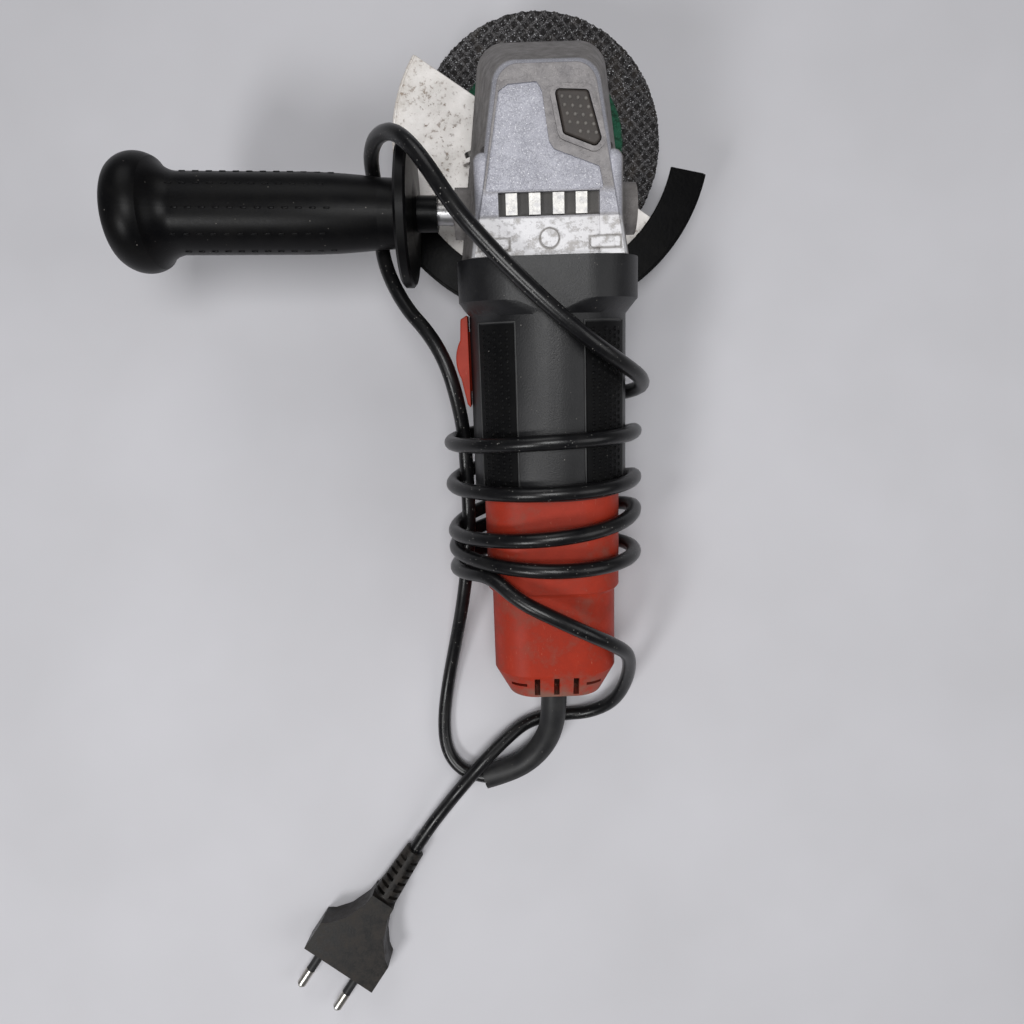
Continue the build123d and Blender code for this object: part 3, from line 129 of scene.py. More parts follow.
class Finish:
    """The surface of a piece: a principled shader and the nodes that vary it."""

    def __init__(self, name, **constants):
        self.material = bpy.data.materials.new(name)
        self.material.use_nodes = True
        self.tree = self.material.node_tree
        self.shader = self.tree.nodes["Principled BSDF"]
        for key, value in constants.items():
            self.put(self.shader.inputs[key.replace("_", " ").title().replace("Ior", "IOR")], value)

    def put(self, socket, value):
        if isinstance(value, Value):
            self.tree.links.new(value.socket, socket)
        elif socket.type == "RGBA" and len(value) == 3:
            socket.default_value = (*value, 1.0)
        else:
            socket.default_value = value

    def node(self, kind, settings=None, sockets=None, out=0):
        made = self.tree.nodes.new(kind)
        for key, value in (settings or {}).items():
            setattr(made, key, value)
        for key, value in (sockets or {}).items():
            self.put(made.inputs[key], value)
        return Value(self, made.outputs[out])

    def place(self):
        """Position on the tool in mm: X right, Y along the motor axis, Z up the spindle."""
        here = self.node("ShaderNodeTexCoord", out="Object")
        sockets = {"Vector": here, "Location": SPINDLE_PLACE, "Rotation": (TIP, 0, 0)}
        sockets["Scale"] = (MM, MM, MM)
        return self.node("ShaderNodeMapping", {"vector_type": "TEXTURE"}, sockets)

    def stretch(self, place, x, y, z):
        settings = {"operation": "MULTIPLY"}
        return self.node("ShaderNodeVectorMath", settings, {0: place, 1: (x, y, z)})

    def split(self, place):
        made = self.node("ShaderNodeSeparateXYZ", sockets={0: place})
        return [Value(self, made.socket.node.outputs[index]) for index in range(3)]

    def noise(self, place, size, detail=3.0, rough=0.55):
        """Soft mottling whose patches are about size mm across."""
        sockets = {"Vector": place, "Scale": 1.0 / size, "Detail": detail, "Roughness": rough}
        return self.node("ShaderNodeTexNoise", {}, sockets)

    def cells(self, place, size):
        """Distance to the nearest of points scattered about size mm apart."""
        sockets = {"Vector": place, "Scale": 1.0 / size}
        return self.node("ShaderNodeTexVoronoi", {}, sockets)

    def tint(self, share, first, second):
        """Colour that goes from first to second as share goes from 0 to 1."""
        sockets = {0: share, 6: first, 7: second}
        return self.node("ShaderNodeMix", {"data_type": "RGBA"}, sockets, out=2)

    def relief(self, height, depth, under=None):
        """Bump of depth mm."""
        sockets = {"Height": height, "Distance": depth * MM, "Strength": 1.0}
        if under is not None:
            sockets["Normal"] = under
        return self.node("ShaderNodeBump", {}, sockets)

    def wear(self, **varying):
        for key, value in varying.items():
            self.put(self.shader.inputs[key.replace("_", " ").title()], value)
        return self.material


def eased(node, width, name, finish, body="root", level=None):
    """The piece with its sharp edges rounded off by width mm, standing for its CAD node.

    Studs on its top face go, where level says how high that face is up the spindle.
    """
    mesh = nodes[node].data.copy()
    shape = bmesh.new()
    shape.from_mesh(mesh)
    if level is not None:
        for corner in shape.verts:
            here = TOOL.inverted() @ corner.co
            here.z = min(here.z, level)
            corner.co = TOOL @ here
    bmesh.ops.remove_doubles(shape, verts=shape.verts, dist=SAME_PLACE)
    bmesh.ops.dissolve_limit(shape, angle_limit=FLAT_ANGLE, verts=shape.verts, edges=shape.edges)
    sharp = [edge for edge in shape.edges if len(edge.link_faces) == 2
             and edge.calc_face_angle(0) > EDGE_ANGLE and not crease_stays(edge)]
    bmesh.ops.bevel(shape, geom=sharp, offset=width * MM, segments=2, profile=0.6,
                    affect="EDGES", clamp_overlap=True, loop_slide=True)
    shape.to_mesh(mesh)
    shape.free()
    mesh.name = name
    mesh.materials.clear()
    mesh.materials.append(finish)
    for polygon in mesh.polygons:
        polygon.use_smooth = True
    piece = bpy.data.objects.new(name, mesh)
    bpy.context.scene.collection.objects.link(piece)
    piece.modifiers.new("even shading", "WEIGHTED_NORMAL").keep_sharp = True
    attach(piece, body)
    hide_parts(node)
    return piece


def coat(finish, *names):
    """Give CAD nodes a finish."""
    for name in names:
        data = nodes[name].data
        if not data.materials:
            data.materials.append(finish)
        for index in range(len(data.materials)):
            data.materials[index] = finish


def cast_head():
    finish = Finish("blasted_aluminium", specular_ior_level=0.5)
    place = finish.place()
    x, y, z = finish.split(place)
    patch = finish.noise(place, 9.0)
    sand = finish.noise(place, 0.42, 2.0, 0.7)
    # painted glints: the near-white specks on the blasted top stand in for sparkle of light off its
    # grains
    spark = finish.cells(place, 0.8).rising(0.26, 0.16) * sand.rising(0.46, 0.6)
    scuff = finish.noise(finish.stretch(place, 0.8, 1.0, 1.0), 2.6, 5.0, 0.72)
    colour = finish.tint(patch.rising(0.3, 0.7), (0.30, 0.30, 0.345), (0.38, 0.38, 0.43))
    colour = finish.tint(sand.rising(0.45, 0.75) * 0.5, colour, (0.82, 0.83, 0.86))
    colour = finish.tint(spark * 0.8, colour, (0.95, 0.95, 0.97))
    top = z.rising(*PANEL_LEVEL)
    rim = z.rising(*RIM_LEVEL)
    grime = finish.noise(place, 4.0, 5.0, 0.65).rising(0.34, 0.66)
    side = finish.tint(grime, (0.20, 0.185, 0.17), (0.10, 0.088, 0.078))
    colour = finish.tint((1 - top) * 0.85, colour, side)
    worn_rim = finish.tint(grime, (0.24, 0.22, 0.205), (0.14, 0.125, 0.115))
    front = y.rising(-31.0, -28.5)
    colour = finish.tint(rim * front * 0.75, colour, worn_rim)
    rear = 1 - y.rising(PLATE_FRONT - 0.6, PLATE_FRONT)
    colour = finish.tint(rear * top * 0.8, colour, (0.80, 0.79, 0.80))
    chips = scuff.rising(0.50, 0.62) * rear * top
    colour = finish.tint(chips * 0.75, colour, (0.30, 0.28, 0.265))
    # painted shade with some grime: dark rings round the boss and the pads, and a dark line where
    # the plate meets the pocket, stand in for the shade at these low steps
    from_boss = finish.node("ShaderNodeVectorMath", {"operation": "DISTANCE"},
                            {0: place, 1: BOSS}, out="Value")
    boss_ring = from_boss.band(3.0, 3.7, 0.25)
    pad_x, pad_y = abs(abs(x) - PAD_PLACE[0]), abs(y - PAD_PLACE[1])
    pad_ring = (1 - pad_x.rising(5.4, 5.8)) * (1 - pad_y.rising(2.1, 2.5))
    pad_ring = pad_ring * pad_x.rising(4.6, 5.0).larger(pad_y.rising(1.3, 1.7))
    lower_rim = y.band(-38.0, -37.0, 0.3)
    shade_and_grime_lines = (boss_ring + pad_ring * 0.8 + lower_rim * 0.5) * z.rising(26.2, 26.8)
    colour = finish.tint(shade_and_grime_lines * 0.85, colour, (0.16, 0.145, 0.13))
    inside = 1 - abs(x).rising(POCKET_HALF, POCKET_HALF + 0.5)
    sunk = (1 - z.rising(26.0, 27.0)) * z.rising(24.6, 25.0)
    pocket = y.band(*POCKET, 0.15) * inside * sunk
    colour = finish.tint(pocket, colour, (0.085, 0.082, 0.080))
    bar = y.band(-37.2, -30.0, 0.1) * inside * z.rising(27.2, 27.4)
    bright = bar * finish.noise(place, 2.5).rising(0.35, 0.6)
    colour = finish.tint(bar * (0.5 + bright * 0.5), colour, (0.90, 0.88, 0.84))
    well = finish.noise(place, 30.0, 2.0)
    colour = finish.tint(well.rising(0.55, 0.8) * 0.2, colour, (0.30, 0.27, 0.24))
    rough = 0.46 + sand * 0.22 + grime * (1 - top) * 0.2 + pocket * 0.3
    metal = 0.30 - grime * (1 - top) * 0.2 - pocket * 0.3 - rear * top * 0.1
    bump = finish.relief(sand * 0.6 + patch * 0.2, 0.10)
    bump = finish.relief(scuff.rising(0.5, 0.56) * 0.5, 0.10, bump)
    return finish.wear(base_color=colour, roughness=rough, metallic=metal, normal=bump)


head_metal = cast_head()
eased("gear_case", 0.55, "gear_head", head_metal)
coat(head_metal, "bearing_flange")


def machined(name, colour, dark, rough=0.3, grain=0.5):
    """Cut, drawn or ground metal with fine marks and a little oil in them."""
    finish = Finish(name, metallic=1.0)
    place = finish.place()
    line = finish.stretch(place, 1.0, 1.0, 0.3)
    marks = finish.noise(line, grain, 4.0, 0.6)
    stain = finish.noise(place, 5.0, 4.0)
    shade = finish.tint(stain.rising(0.40, 0.72), colour, dark)
    shade = finish.tint(marks.rising(0.5, 0.8) * 0.25, shade, dark)
    roughness = rough + marks * 0.15 + stain * 0.12
    bump = finish.relief(marks, 0.02)
    return finish.wear(base_color=shade, roughness=roughness, normal=bump)


screw_steel = machined("oiled_screw_steel", (0.16, 0.155, 0.15), (0.05, 0.042, 0.035), 0.38)
ground_steel = machined("ground_steel", (0.52, 0.52, 0.53), (0.30, 0.28, 0.26), 0.24, 0.3)
bearing_steel = machined("bearing_steel", (0.62, 0.62, 0.64), (0.40, 0.39, 0.38), 0.18, 0.3)
coat(screw_steel, "gear_case_screws", "flange_screws", "casing_screws", "clamp_screws",
     "guard_clamp_screw")
coat(bearing_steel, "spindle_bearing", "front_bearing", "rear_bearing")

# ---- spindle, gears and disc --------------------------------------------------------------
# Hardened spindle with the large bevel gear, clamped flanges and a worn grinding disc of
# bonded grit, whose glass-fibre mesh shows as crossed strands. They turn together.

DISC_TOP = -43.0
DISC_UNDER = -46.0
DISC_RADIUS = 50.2
DISC_BORE = 11.1
MESH_PITCH = 3.3           # between neighbouring strands of the glass-fibre mesh
STRAND_SHARE = 0.36
MESH_DEPTH = 0.55
GRIT = 0.16                # unevenness of the bonded grit
LABEL_RADIUS = 34.6
LABEL_SMOOTHS = 0.25       # how much of the relief shows through the paper label
EDGE_DROP = 0.5
MESH_TURN = radians(41)
DISC_RINGS = 92
DISC_STEPS = 600

coat(ground_steel, "spindle", "inner_flange", "lock_nut", "gear_ring", "lock_pin", "lock_spring",
     "armature_shaft", "pinion_nut", "handle_stud", "brush_springs")
coat(machined("gear_steel", (0.42, 0.41, 0.41), (0.16, 0.14, 0.12), 0.3, 0.4), "drive_gear",
     "pinion")


def strand(distance):
    """Height of one set of strands at a distance across them, from 0 to 1."""
    offset = abs((distance / MESH_PITCH) % 1.0 - 0.5) / 0.5
    return max(0.0, 1.0 - (offset / STRAND_SHARE) ** 2)


def mesh_height(x, y):
    along = x * cos(MESH_TURN) + y * sin(MESH_TURN)
    across = -x * sin(MESH_TURN) + y * cos(MESH_TURN)
    over = 0.78 + 0.22 * cos(pi * (along + across) / MESH_PITCH)
    return max(strand(along) * over, strand(across) * (1.78 - over))


def piece_from(name, vertices, faces, finish, body, smooth=True):
    """A mesh piece given in the tool's own axes, in mm."""
    mesh = bpy.data.meshes.new(name)
    mesh.from_pydata([TOOL @ Vector(v) for v in vertices], [], faces)
    mesh.validate()
    tidy = bmesh.new()
    tidy.from_mesh(mesh)
    bmesh.ops.recalc_face_normals(tidy, faces=tidy.faces)
    tidy.to_mesh(mesh)
    tidy.free()
    mesh.materials.append(finish)
    for polygon in mesh.polygons:
        polygon.use_smooth = smooth
    piece = bpy.data.objects.new(name, mesh)
    bpy.context.scene.collection.objects.link(piece)
    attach(piece, body)
    return piece


def disc_finish():
    finish = Finish("bonded_grit", specular_ior_level=0.12)
    place = finish.place()
    x, y, z = finish.split(place)
    radius = (x * x + y * y).root()
    turn = (cos(MESH_TURN), sin(MESH_TURN))
    along = x * turn[0] + y * turn[1]
    across = y * turn[0] - x * turn[1]
    strands = None
    for distance in (along, across):
        offset = abs((distance / MESH_PITCH).fraction() - 0.5) * 2
        line = 1 - offset.rising(STRAND_SHARE * 0.6, STRAND_SHARE * 1.25)
        strands = line if strands is None else strands.larger(line)
    grit = finish.cells(place, 0.75)
    specks = finish.noise(place, 0.5, 2.0, 0.8)
    colour = finish.tint(grit.rising(0.2, 0.7), (0.034, 0.032, 0.033), (0.012, 0.011, 0.011))
    colour = finish.tint(strands * specks.rising(0.42, 0.66) * 0.75, colour, (0.20, 0.195, 0.20))
    # painted glints: near-white dots on the grit stand in for sparkle of light, and the grit is
    # smoother and partly metallic at these dots
    painted_glint = finish.cells(place, 0.85).rising(0.26, 0.14) * specks.rising(0.47, 0.56)
    colour = finish.tint(painted_glint * 0.9, colour, (0.85, 0.85, 0.90))
    dust = finish.noise(place, 7.0).rising(0.5, 0.75)
    colour = finish.tint(dust * 0.12, colour, (0.20, 0.16, 0.12))
    label = (1 - radius.rising(LABEL_RADIUS - 0.4, LABEL_RADIUS + 0.4))
    label = label * z.rising(DISC_TOP - 1.0, DISC_TOP - 0.8)
    print_wear = finish.noise(place, 2.2, 4.0, 0.7).rising(0.36, 0.56)
    green = finish.tint(print_wear, (0.010, 0.040, 0.022), (0.020, 0.105, 0.060))
    colour = finish.tint(label * 0.95, colour, green)
    rough = 0.62 - painted_glint * 0.42 + label * 0.1
    bump = finish.relief(grit * 0.5 + specks, 0.22)
    return finish.wear(base_color=colour, roughness=rough, metallic=painted_glint * 0.6, normal=bump)


def disc_piece():
    chance = random.Random(7)
    vertices = []
    faces = []
    edge_wear = [chance.uniform(-0.45, 0.0) for _ in range(DISC_STEPS)]
    for side in (1, -1):
        for ring in range(DISC_RINGS):
            share = ring / (DISC_RINGS - 1)
            for step in range(DISC_STEPS):
                angle = 2 * pi * step / DISC_STEPS
                outer = DISC_RADIUS - 0.1 + edge_wear[step]
                radius = DISC_BORE + (outer - DISC_BORE) * share
                x, y = radius * cos(angle), radius * sin(angle)
                drop = MESH_DEPTH * (1 - mesh_height(x, y)) + chance.uniform(0.0, GRIT)
                if radius < LABEL_RADIUS:
                    drop *= LABEL_SMOOTHS
                if side > 0 and ring == DISC_RINGS - 1:
                    drop += EDGE_DROP
                level = DISC_TOP - 0.02 - drop if side > 0 else DISC_UNDER + 0.05 + drop
                vertices.append((x, y, level))
    row = DISC_STEPS
    for side in (0, 1):
        base = side * DISC_RINGS * row
        for ring in range(DISC_RINGS - 1):
            for step in range(row):
                following = (step + 1) % row
                a, b = base + ring * row + step, base + ring * row + following
                faces.append((a, b, b + row, a + row))
    under = DISC_RINGS * row
    for ring in (0, DISC_RINGS - 1):
        for step in range(row):
            following = (step + 1) % row
            a, b = ring * row + step, ring * row + following
            faces.append((a, b, b + under, a + under))
    disc = piece_from("worn_disc", vertices, faces, disc_finish(), "spindle_body")
    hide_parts("grinding_disc")


disc_piece()

# ---- guard --------------------------------------------------------------------------------
# Pressed and zinc-plated sheet on the guard neck, dull with dust and freckled with rust, and
# the black painted band riveted round its outside. A clamp band and a screw hold it.


def zinc_finish():
    finish = Finish("dusty_zinc_plate")
    place = finish.place()
    patch = finish.noise(place, 11.0, 5.0, 0.6)
    fine = finish.noise(place, 1.3, 4.0, 0.7)
    grain = finish.noise(place, 0.35, 2.0)
    colour = finish.tint(patch.rising(0.35, 0.68), (0.76, 0.73, 0.71), (0.64, 0.61, 0.58))
    colour = finish.tint(fine.rising(0.48, 0.66) * 0.5, colour, (0.70, 0.69, 0.66))
    rust = (finish.noise(place, 1.9, 5.0, 0.75) + patch * 0.35).rising(0.755, 0.86)
    colour = finish.tint(rust * 0.7, colour, (0.24, 0.15, 0.09))
    x, y = finish.split(place)[:2]
    radius = (x * x + y * y).root()
    edge = radius.rising(53.5, 59.0) * fine.rising(0.38, 0.60)
    colour = finish.tint(edge * 0.45, colour, (0.36, 0.29, 0.22))
    freckle = finish.cells(place, 2.6).rising(0.13, 0.07) * fine.rising(0.46, 0.56)
    colour = finish.tint(freckle * 0.85, colour, (0.13, 0.065, 0.03))
    rough = 0.42 + patch * 0.2 + rust * 0.3
    metal = 0.45 - rust * 0.35 - patch * 0.2
    bump = finish.relief(grain * 0.3 + rust * 0.5 + fine * 0.3, 0.09)
    return finish.wear(base_color=colour, roughness=rough, metallic=metal, normal=bump)


zinc = zinc_finish()
eased("guard_plate", 0.3, "guard_sheet", zinc, "guard_body")
coat(zinc, "guard_clamp")


def dark_paint():
    finish = Finish("black_stoved_paint", specular_ior_level=0.04)
    place = finish.place()
    peel = finish.noise(place, 1.1, 3.0)
    dust = finish.noise(place, 6.0, 5.0, 0.65)
    chips = (finish.noise(place, 1.8, 4.0, 0.75) + dust * 0.2).rising(0.80, 0.84)
    settled = dust.rising(0.50, 0.80) * 0.4
    colour = finish.tint(settled, (0.0022, 0.0022, 0.0026), (0.014, 0.013, 0.012))
    colour = finish.tint(chips * 0.7, colour, (0.22, 0.19, 0.16))
    rough = 0.24 + dust * 0.16
    bump = finish.relief(peel - chips * 0.6, 0.05)
    return finish.wear(base_color=colour, roughness=rough, metallic=chips * 0.6, normal=bump)


eased("guard_band", 0.3, "guard_outer_band", dark_paint(), "guard_body")

# ---- motor and its parts ------------------------------------------------------------------
# Laminated stator and armature with lacquered copper windings, brass and carbon brush gear,
# and a nylon fan, all inside the housing.


def lacquered_wire():
    finish = Finish("lacquered_copper", specular_ior_level=0.6)
    place = finish.place()
    turns = finish.stretch(place, 2.2, 0.5, 2.2)
    wire = finish.noise(turns, 1.1, 3.0)
    varnish = finish.noise(place, 6.0)
    colour = finish.tint(wire.rising(0.35, 0.65), (0.42, 0.17, 0.07), (0.62, 0.30, 0.14))
    colour = finish.tint(varnish.rising(0.5, 0.8) * 0.5, colour, (0.16, 0.07, 0.03))
    bump = finish.relief(wire, 0.25)
    rough = 0.25 + varnish * 0.2
    return finish.wear(base_color=colour, roughness=rough, metallic=0.7 * wire, normal=bump)


def laminations():
    finish = Finish("stacked_laminations")
    place = finish.place()
    sheets = finish.noise(finish.stretch(place, 0.02, 2.4, 0.02), 1.0, 2.0)
    stain = finish.noise(place, 6.0)
    colour = finish.tint(sheets.rising(0.4, 0.6), (0.16, 0.165, 0.18), (0.30, 0.30, 0.32))
    colour = finish.tint(stain.rising(0.55, 0.8) * 0.5, colour, (0.14, 0.08, 0.05))
    bump = finish.relief(sheets, 0.15)
    rough = 0.35 + stain * 0.25
    metal = 0.9 - stain * 0.3
    return finish.wear(base_color=colour, roughness=rough, metallic=metal, normal=bump)


def moulded(name, dark, light, rough=0.42, grain=0.5, depth=0.03, dust_share=0.35, patch=7.0,
            shine=0.4):
    """Moulded plastic or rubber: fine spark-eroded grain, handling gloss and settled dust."""
    finish = Finish(name, specular_ior_level=shine)
    place = finish.place()
    fine = finish.noise(place, grain, 3.0, 0.6)
    soil = finish.noise(place, patch, 5.0, 0.62)
    speck = finish.cells(place, 3.1).rising(0.075, 0.045)
    speck = speck * finish.noise(place, 5.0).rising(0.45, 0.6)
    colour = finish.tint(soil.rising(0.38, 0.72) * dust_share, dark, light)
    colour = finish.tint(fine.rising(0.55, 0.8) * 0.12, colour, light)
    colour = finish.tint(speck * 0.55, colour, (0.34, 0.32, 0.29))
    roughness = rough + fine * 0.12 + soil * 0.16
    return finish.wear(base_color=colour, roughness=roughness, normal=finish.relief(fine, depth))


coat(lacquered_wire(), "field_coils", "armature_windings")
coat(laminations(), "stator_core", "armature_core")
coat(machined("drawn_brass", (0.70, 0.50, 0.22), (0.36, 0.24, 0.10), 0.26, 0.4),
     "commutator", "brush_holders", "spindle_top_bush")
coat(moulded("pressed_carbon", (0.028, 0.028, 0.03), (0.10, 0.10, 0.105), 0.55), "carbon_brushes")
coat(moulded("fan_nylon", (0.022, 0.022, 0.024), (0.10, 0.10, 0.09), 0.45),
     "fan", "fan_baffle", "switch_rod")
coat(moulded("seal_rubber", (0.020, 0.020, 0.021), (0.07, 0.068, 0.064), 0.62),
     "rear_bearing_cup", "dust_seal")
coat(moulded("phenolic", (0.075, 0.055, 0.045), (0.17, 0.14, 0.12), 0.4), "switch_module",
     "suppression_capacitor", "cord_clamp")

# ---- motor housing and grip pads ----------------------------------------------------------
# Glass-filled black nylon barrel, satin where the hand goes round it. Two soft pads with
# small round pebbles are moulded into its sides, each inside a thin raised line.

BARREL_RADIUS = 29.2
PAD_FACE = BARREL_RADIUS + 0.48
PAD_REAR = -133.3
PAD_FRONT = -72.0
PEBBLE_PITCH = 2.5
PEBBLE_RADIUS = 0.86
PEBBLE_RISE = 0.42
PEBBLE_SIDES = 8

body_black = moulded("satin_black_nylon", (0.0060, 0.0060, 0.0070), (0.030, 0.030, 0.032),
                     0.30, 0.6, 0.075, 0.25, 12.0)
eased("motor_housing", 0.5, "motor_barrel", body_black)
pad_black = moulded("soft_black_pad", (0.0028, 0.0028, 0.0032), (0.014, 0.014, 0.013),
                    0.40, 0.4, 0.04, 0.25, 7.0, 0.10)
coat(pad_black, "grip_pad_left", "grip_pad_right")


def dome(vertices, faces, centre, outward, side, radius, rise):
    """Add one low round pebble, standing on the surface at centre."""
    along = outward.cross(side)
    base = len(vertices)
    for share, lift in ((1.0, -0.15), (0.94, 0.35), (0.62, 0.85)):
        for index in range(PEBBLE_SIDES):
            turn = 2 * pi * index / PEBBLE_SIDES
            out = side * (radius * share * cos(turn)) + along * (radius * share * sin(turn))
            vertices.append(centre + out + outward * (rise * lift))
    vertices.append(centre + outward * rise)
    for level in range(2):
        for index in range(PEBBLE_SIDES):
            a = base + level * PEBBLE_SIDES + index
            b = base + level * PEBBLE_SIDES + (index + 1) % PEBBLE_SIDES
            faces.append((a, b, b + PEBBLE_SIDES, a + PEBBLE_SIDES))
    tip = base + 3 * PEBBLE_SIDES
    for index in range(PEBBLE_SIDES):
        a = base + 2 * PEBBLE_SIDES + index
        faces.append((a, base + 2 * PEBBLE_SIDES + (index + 1) % PEBBLE_SIDES, tip))


def pad_pebbles(name, start, end, side):
    """Pebbles of one pad, between two directions given in degrees from the top."""
    vertices = []
    faces = []
    rows = int((end - start) * pi / 180 * PAD_FACE / PEBBLE_PITCH)
    for row in range(1, rows):
        turn = radians(start + (end - start) * row / rows)
        outward = Vector((side * sin(turn), 0, cos(turn)))
        place = PAD_REAR + PEBBLE_PITCH * (1.0 + 0.5 * (row % 2))
        while place < PAD_FRONT - PEBBLE_PITCH * 0.8:
            centre = outward * PAD_FACE + Vector((0, place, 0))
            dome(vertices, faces, centre, outward, Vector((0, 1, 0)), PEBBLE_RADIUS, PEBBLE_RISE)
            place += PEBBLE_PITCH
    return piece_from(name, vertices, faces, pad_black, "root")


RIGHT_PAD = (24, 62)       # degrees from the top, as on the pads themselves
LEFT_PAD = (26, 58)
pad_pebbles("pad_pebbles_right", *RIGHT_PAD, 1)
pad_pebbles("pad_pebbles_left", *LEFT_PAD, -1)


def bead(name, points, radius, finish):
    """A thin closed round bead through points given in the tool's own axes, in mm."""
    curve = bpy.data.curves.new(name, "CURVE")
    curve.dimensions = "3D"
    spline = curve.splines.new("POLY")
    spline.points.add(len(points) - 1)
    for target, point in zip(spline.points, points):
        target.co = (*(TOOL @ Vector(point)), 1.0)
    spline.use_cyclic_u = True
    curve.bevel_depth = radius * MM
    curve.bevel_resolution = 1
    curve.materials.append(finish)
    piece = bpy.data.objects.new(name, curve)
    bpy.context.scene.collection.objects.link(piece)
    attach(piece, "root")
    return piece


LINE_FACE = BARREL_RADIUS + 0.25
LINE_STEPS = 12
LINE_AWAY = 1.2            # degrees from the pad's edge to the line
LINE_RADIUS = 0.34
line_grey = moulded("rubbed_black_line", (0.040, 0.040, 0.041), (0.12, 0.12, 0.115), 0.5)


def pad_line(name, start, end, side):
    """The raised line round a pad."""
    outline = []
    width = end - start + 2 * LINE_AWAY
    for index in range(LINE_STEPS + 1):
        turn = radians(start - LINE_AWAY + width * index / LINE_STEPS)
        outline.append((side * LINE_FACE * sin(turn), PAD_FRONT + 0.7, LINE_FACE * cos(turn)))
    for index in range(LINE_STEPS + 1):
        turn = radians(end + LINE_AWAY - width * index / LINE_STEPS)
        outline.append((side * LINE_FACE * sin(turn), PAD_REAR - 0.3, LINE_FACE * cos(turn)))
    return bead(name, outline, LINE_RADIUS, line_grey)


pad_line("pad_line_right", *RIGHT_PAD, 1)
pad_line("pad_line_left", *LEFT_PAD, -1)

# ---- rear casing and slide switch ---------------------------------------------------------
# Orange-red moulded halves screwed together round the brush end, scuffed and dusty, with air
# slots at the tail. The slide switch on the left is of the same plastic.

TAIL_SLOPE = (-215.0, -203.0)  # where the casing's end slopes and holds most dirt


def orange_finish():
    finish = Finish("orange_casing", specular_ior_level=0.2)
    place = finish.place()
    y = finish.split(place)[1]
    fine = finish.noise(place, 0.5, 3.0)
    soil = finish.noise(place, 8.0, 5.0, 0.65)
    scratch = finish.noise(finish.stretch(place, 0.35, 1.6, 0.6), 1.4, 6.0, 0.75)
    nick = finish.noise(finish.stretch(place, 1.6, 0.25, 1.0), 1.2, 5.0, 0.75)
    colour = finish.tint(soil.rising(0.36, 0.70), (0.35, 0.030, 0.013), (0.27, 0.024, 0.011))
    colour = finish.tint(fine.rising(0.5, 0.8) * 0.25, colour, (0.42, 0.050, 0.022))
    colour = finish.tint(scratch.rising(0.60, 0.70) * 0.55, colour, (0.22, 0.030, 0.014))
    colour = finish.tint(nick.rising(0.64, 0.72) * 0.45, colour, (0.70, 0.30, 0.20))
    tail = 1 - y.rising(*TAIL_SLOPE)
    dirt = (soil + tail * 0.22).rising(0.52, 0.78)
    colour = finish.tint(dirt * (0.35 + tail * 0.45), colour, (0.20, 0.13, 0.10))
    rough = 0.40 + soil * 0.2 + dirt * 0.18
    bump = finish.relief(fine * 0.5 - scratch.rising(0.6, 0.68) * 0.4, 0.05)
    return finish.wear(base_color=colour, roughness=rough, normal=bump)


orange = orange_finish()
eased("rear_casing_upper", 0.6, "casing_top_half", orange)
eased("rear_casing_lower", 0.6, "casing_lower_half", orange)
eased("switch_slider", 0.6, "slide_switch", orange, "switch_body")

# ---- spindle lock button ------------------------------------------------------------------
# Dark brown-black plastic cap with rows of small light studs, pushed down on its spring to
# lock the spindle.

BUTTON_TOP = 29.6
STUD_ROWS = 5
STUD_COLUMNS = 4
STUD_START = (4.7, -1.9)
STUD_STEP = 2.55
STUD_SHIFT = 0.80          # each row starts this much further right
STUD_SLOPE = 0.28          # and each stud in it stands this much further back
STUD_RADIUS = 0.62
STUD_RISE = 0.5
button_dark = moulded("dark_button_plastic", (0.030, 0.024, 0.021), (0.085, 0.070, 0.060), 0.38)
stud_light = moulded("rubbed_stud", (0.14, 0.13, 0.12), (0.32, 0.30, 0.28), 0.45)
eased("lock_button", 0.25, "lock_button_cap", button_dark, "lock_body",
      BUTTON_TOP)


def button_studs():
    vertices = []
    faces = []
    for row in range(STUD_ROWS):
        for column in range(STUD_COLUMNS):
            x = STUD_START[0] + column * STUD_STEP + row * STUD_SHIFT
            y = STUD_START[1] - row * STUD_STEP - column * STUD_SLOPE
            if row == STUD_ROWS - 1 and column == 0:
                continue                                 # the button's corner is cut off here
            centre = Vector((x, y, BUTTON_TOP))
            up, right = Vector((0, 0, 1)), Vector((1, 0, 0))
            dome(vertices, faces, centre, up, right, STUD_RADIUS, STUD_RISE)
    return piece_from("button_studs", vertices, faces, stud_light, "lock_body")


button_studs()

# ---- side handle --------------------------------------------------------------------------
# Moulded black grip with rows of short raised dashes, a wide finger guard and a steel stud
# that screws into the left side of the gear case.

HANDLE_LEAN = radians(1.8)
HANDLE_SEAT = 32.6
HANDLE_Y = -32.0
GRIP_AXIS = Vector((-cos(HANDLE_LEAN), sin(HANDLE_LEAN), 0))
GRIP_PROFILE = [(0.0, 13.8), (43.0, 13.8), (59.0, 14.2), (117.5, 14.5)]
DASH_LENGTH = 2.3
DASH_WIDTH = 0.75
DASH_RISE = 0.28
DASH_ROWS = 10
DASH_START = 44.0
DASH_STEP = 4.784
DASHES = 12
DASH_OUTLINE = [(-1, -0.5), (-0.8, -1), (0.8, -1), (1, -0.5), (1, 0.5), (0.8, 1), (-0.8, 1),
                (-1, 0.5)]

handle_black = moulded("handle_black", (0.0022, 0.0022, 0.0027), (0.014, 0.013, 0.012),
                       0.24, 0.7, 0.02, 0.25, 10.0, 0.12)
coat(handle_black, "handle_grip", "handle_flange")


def grip_radius(distance):
    """Radius of the grip at a distance from the gear case, where the dashes are."""
    for (near, first), (far, second) in zip(GRIP_PROFILE, GRIP_PROFILE[1:]):
        if distance < far:
            return first + (second - first) * (distance - near) / (far - near)
    return GRIP_PROFILE[-1][1]


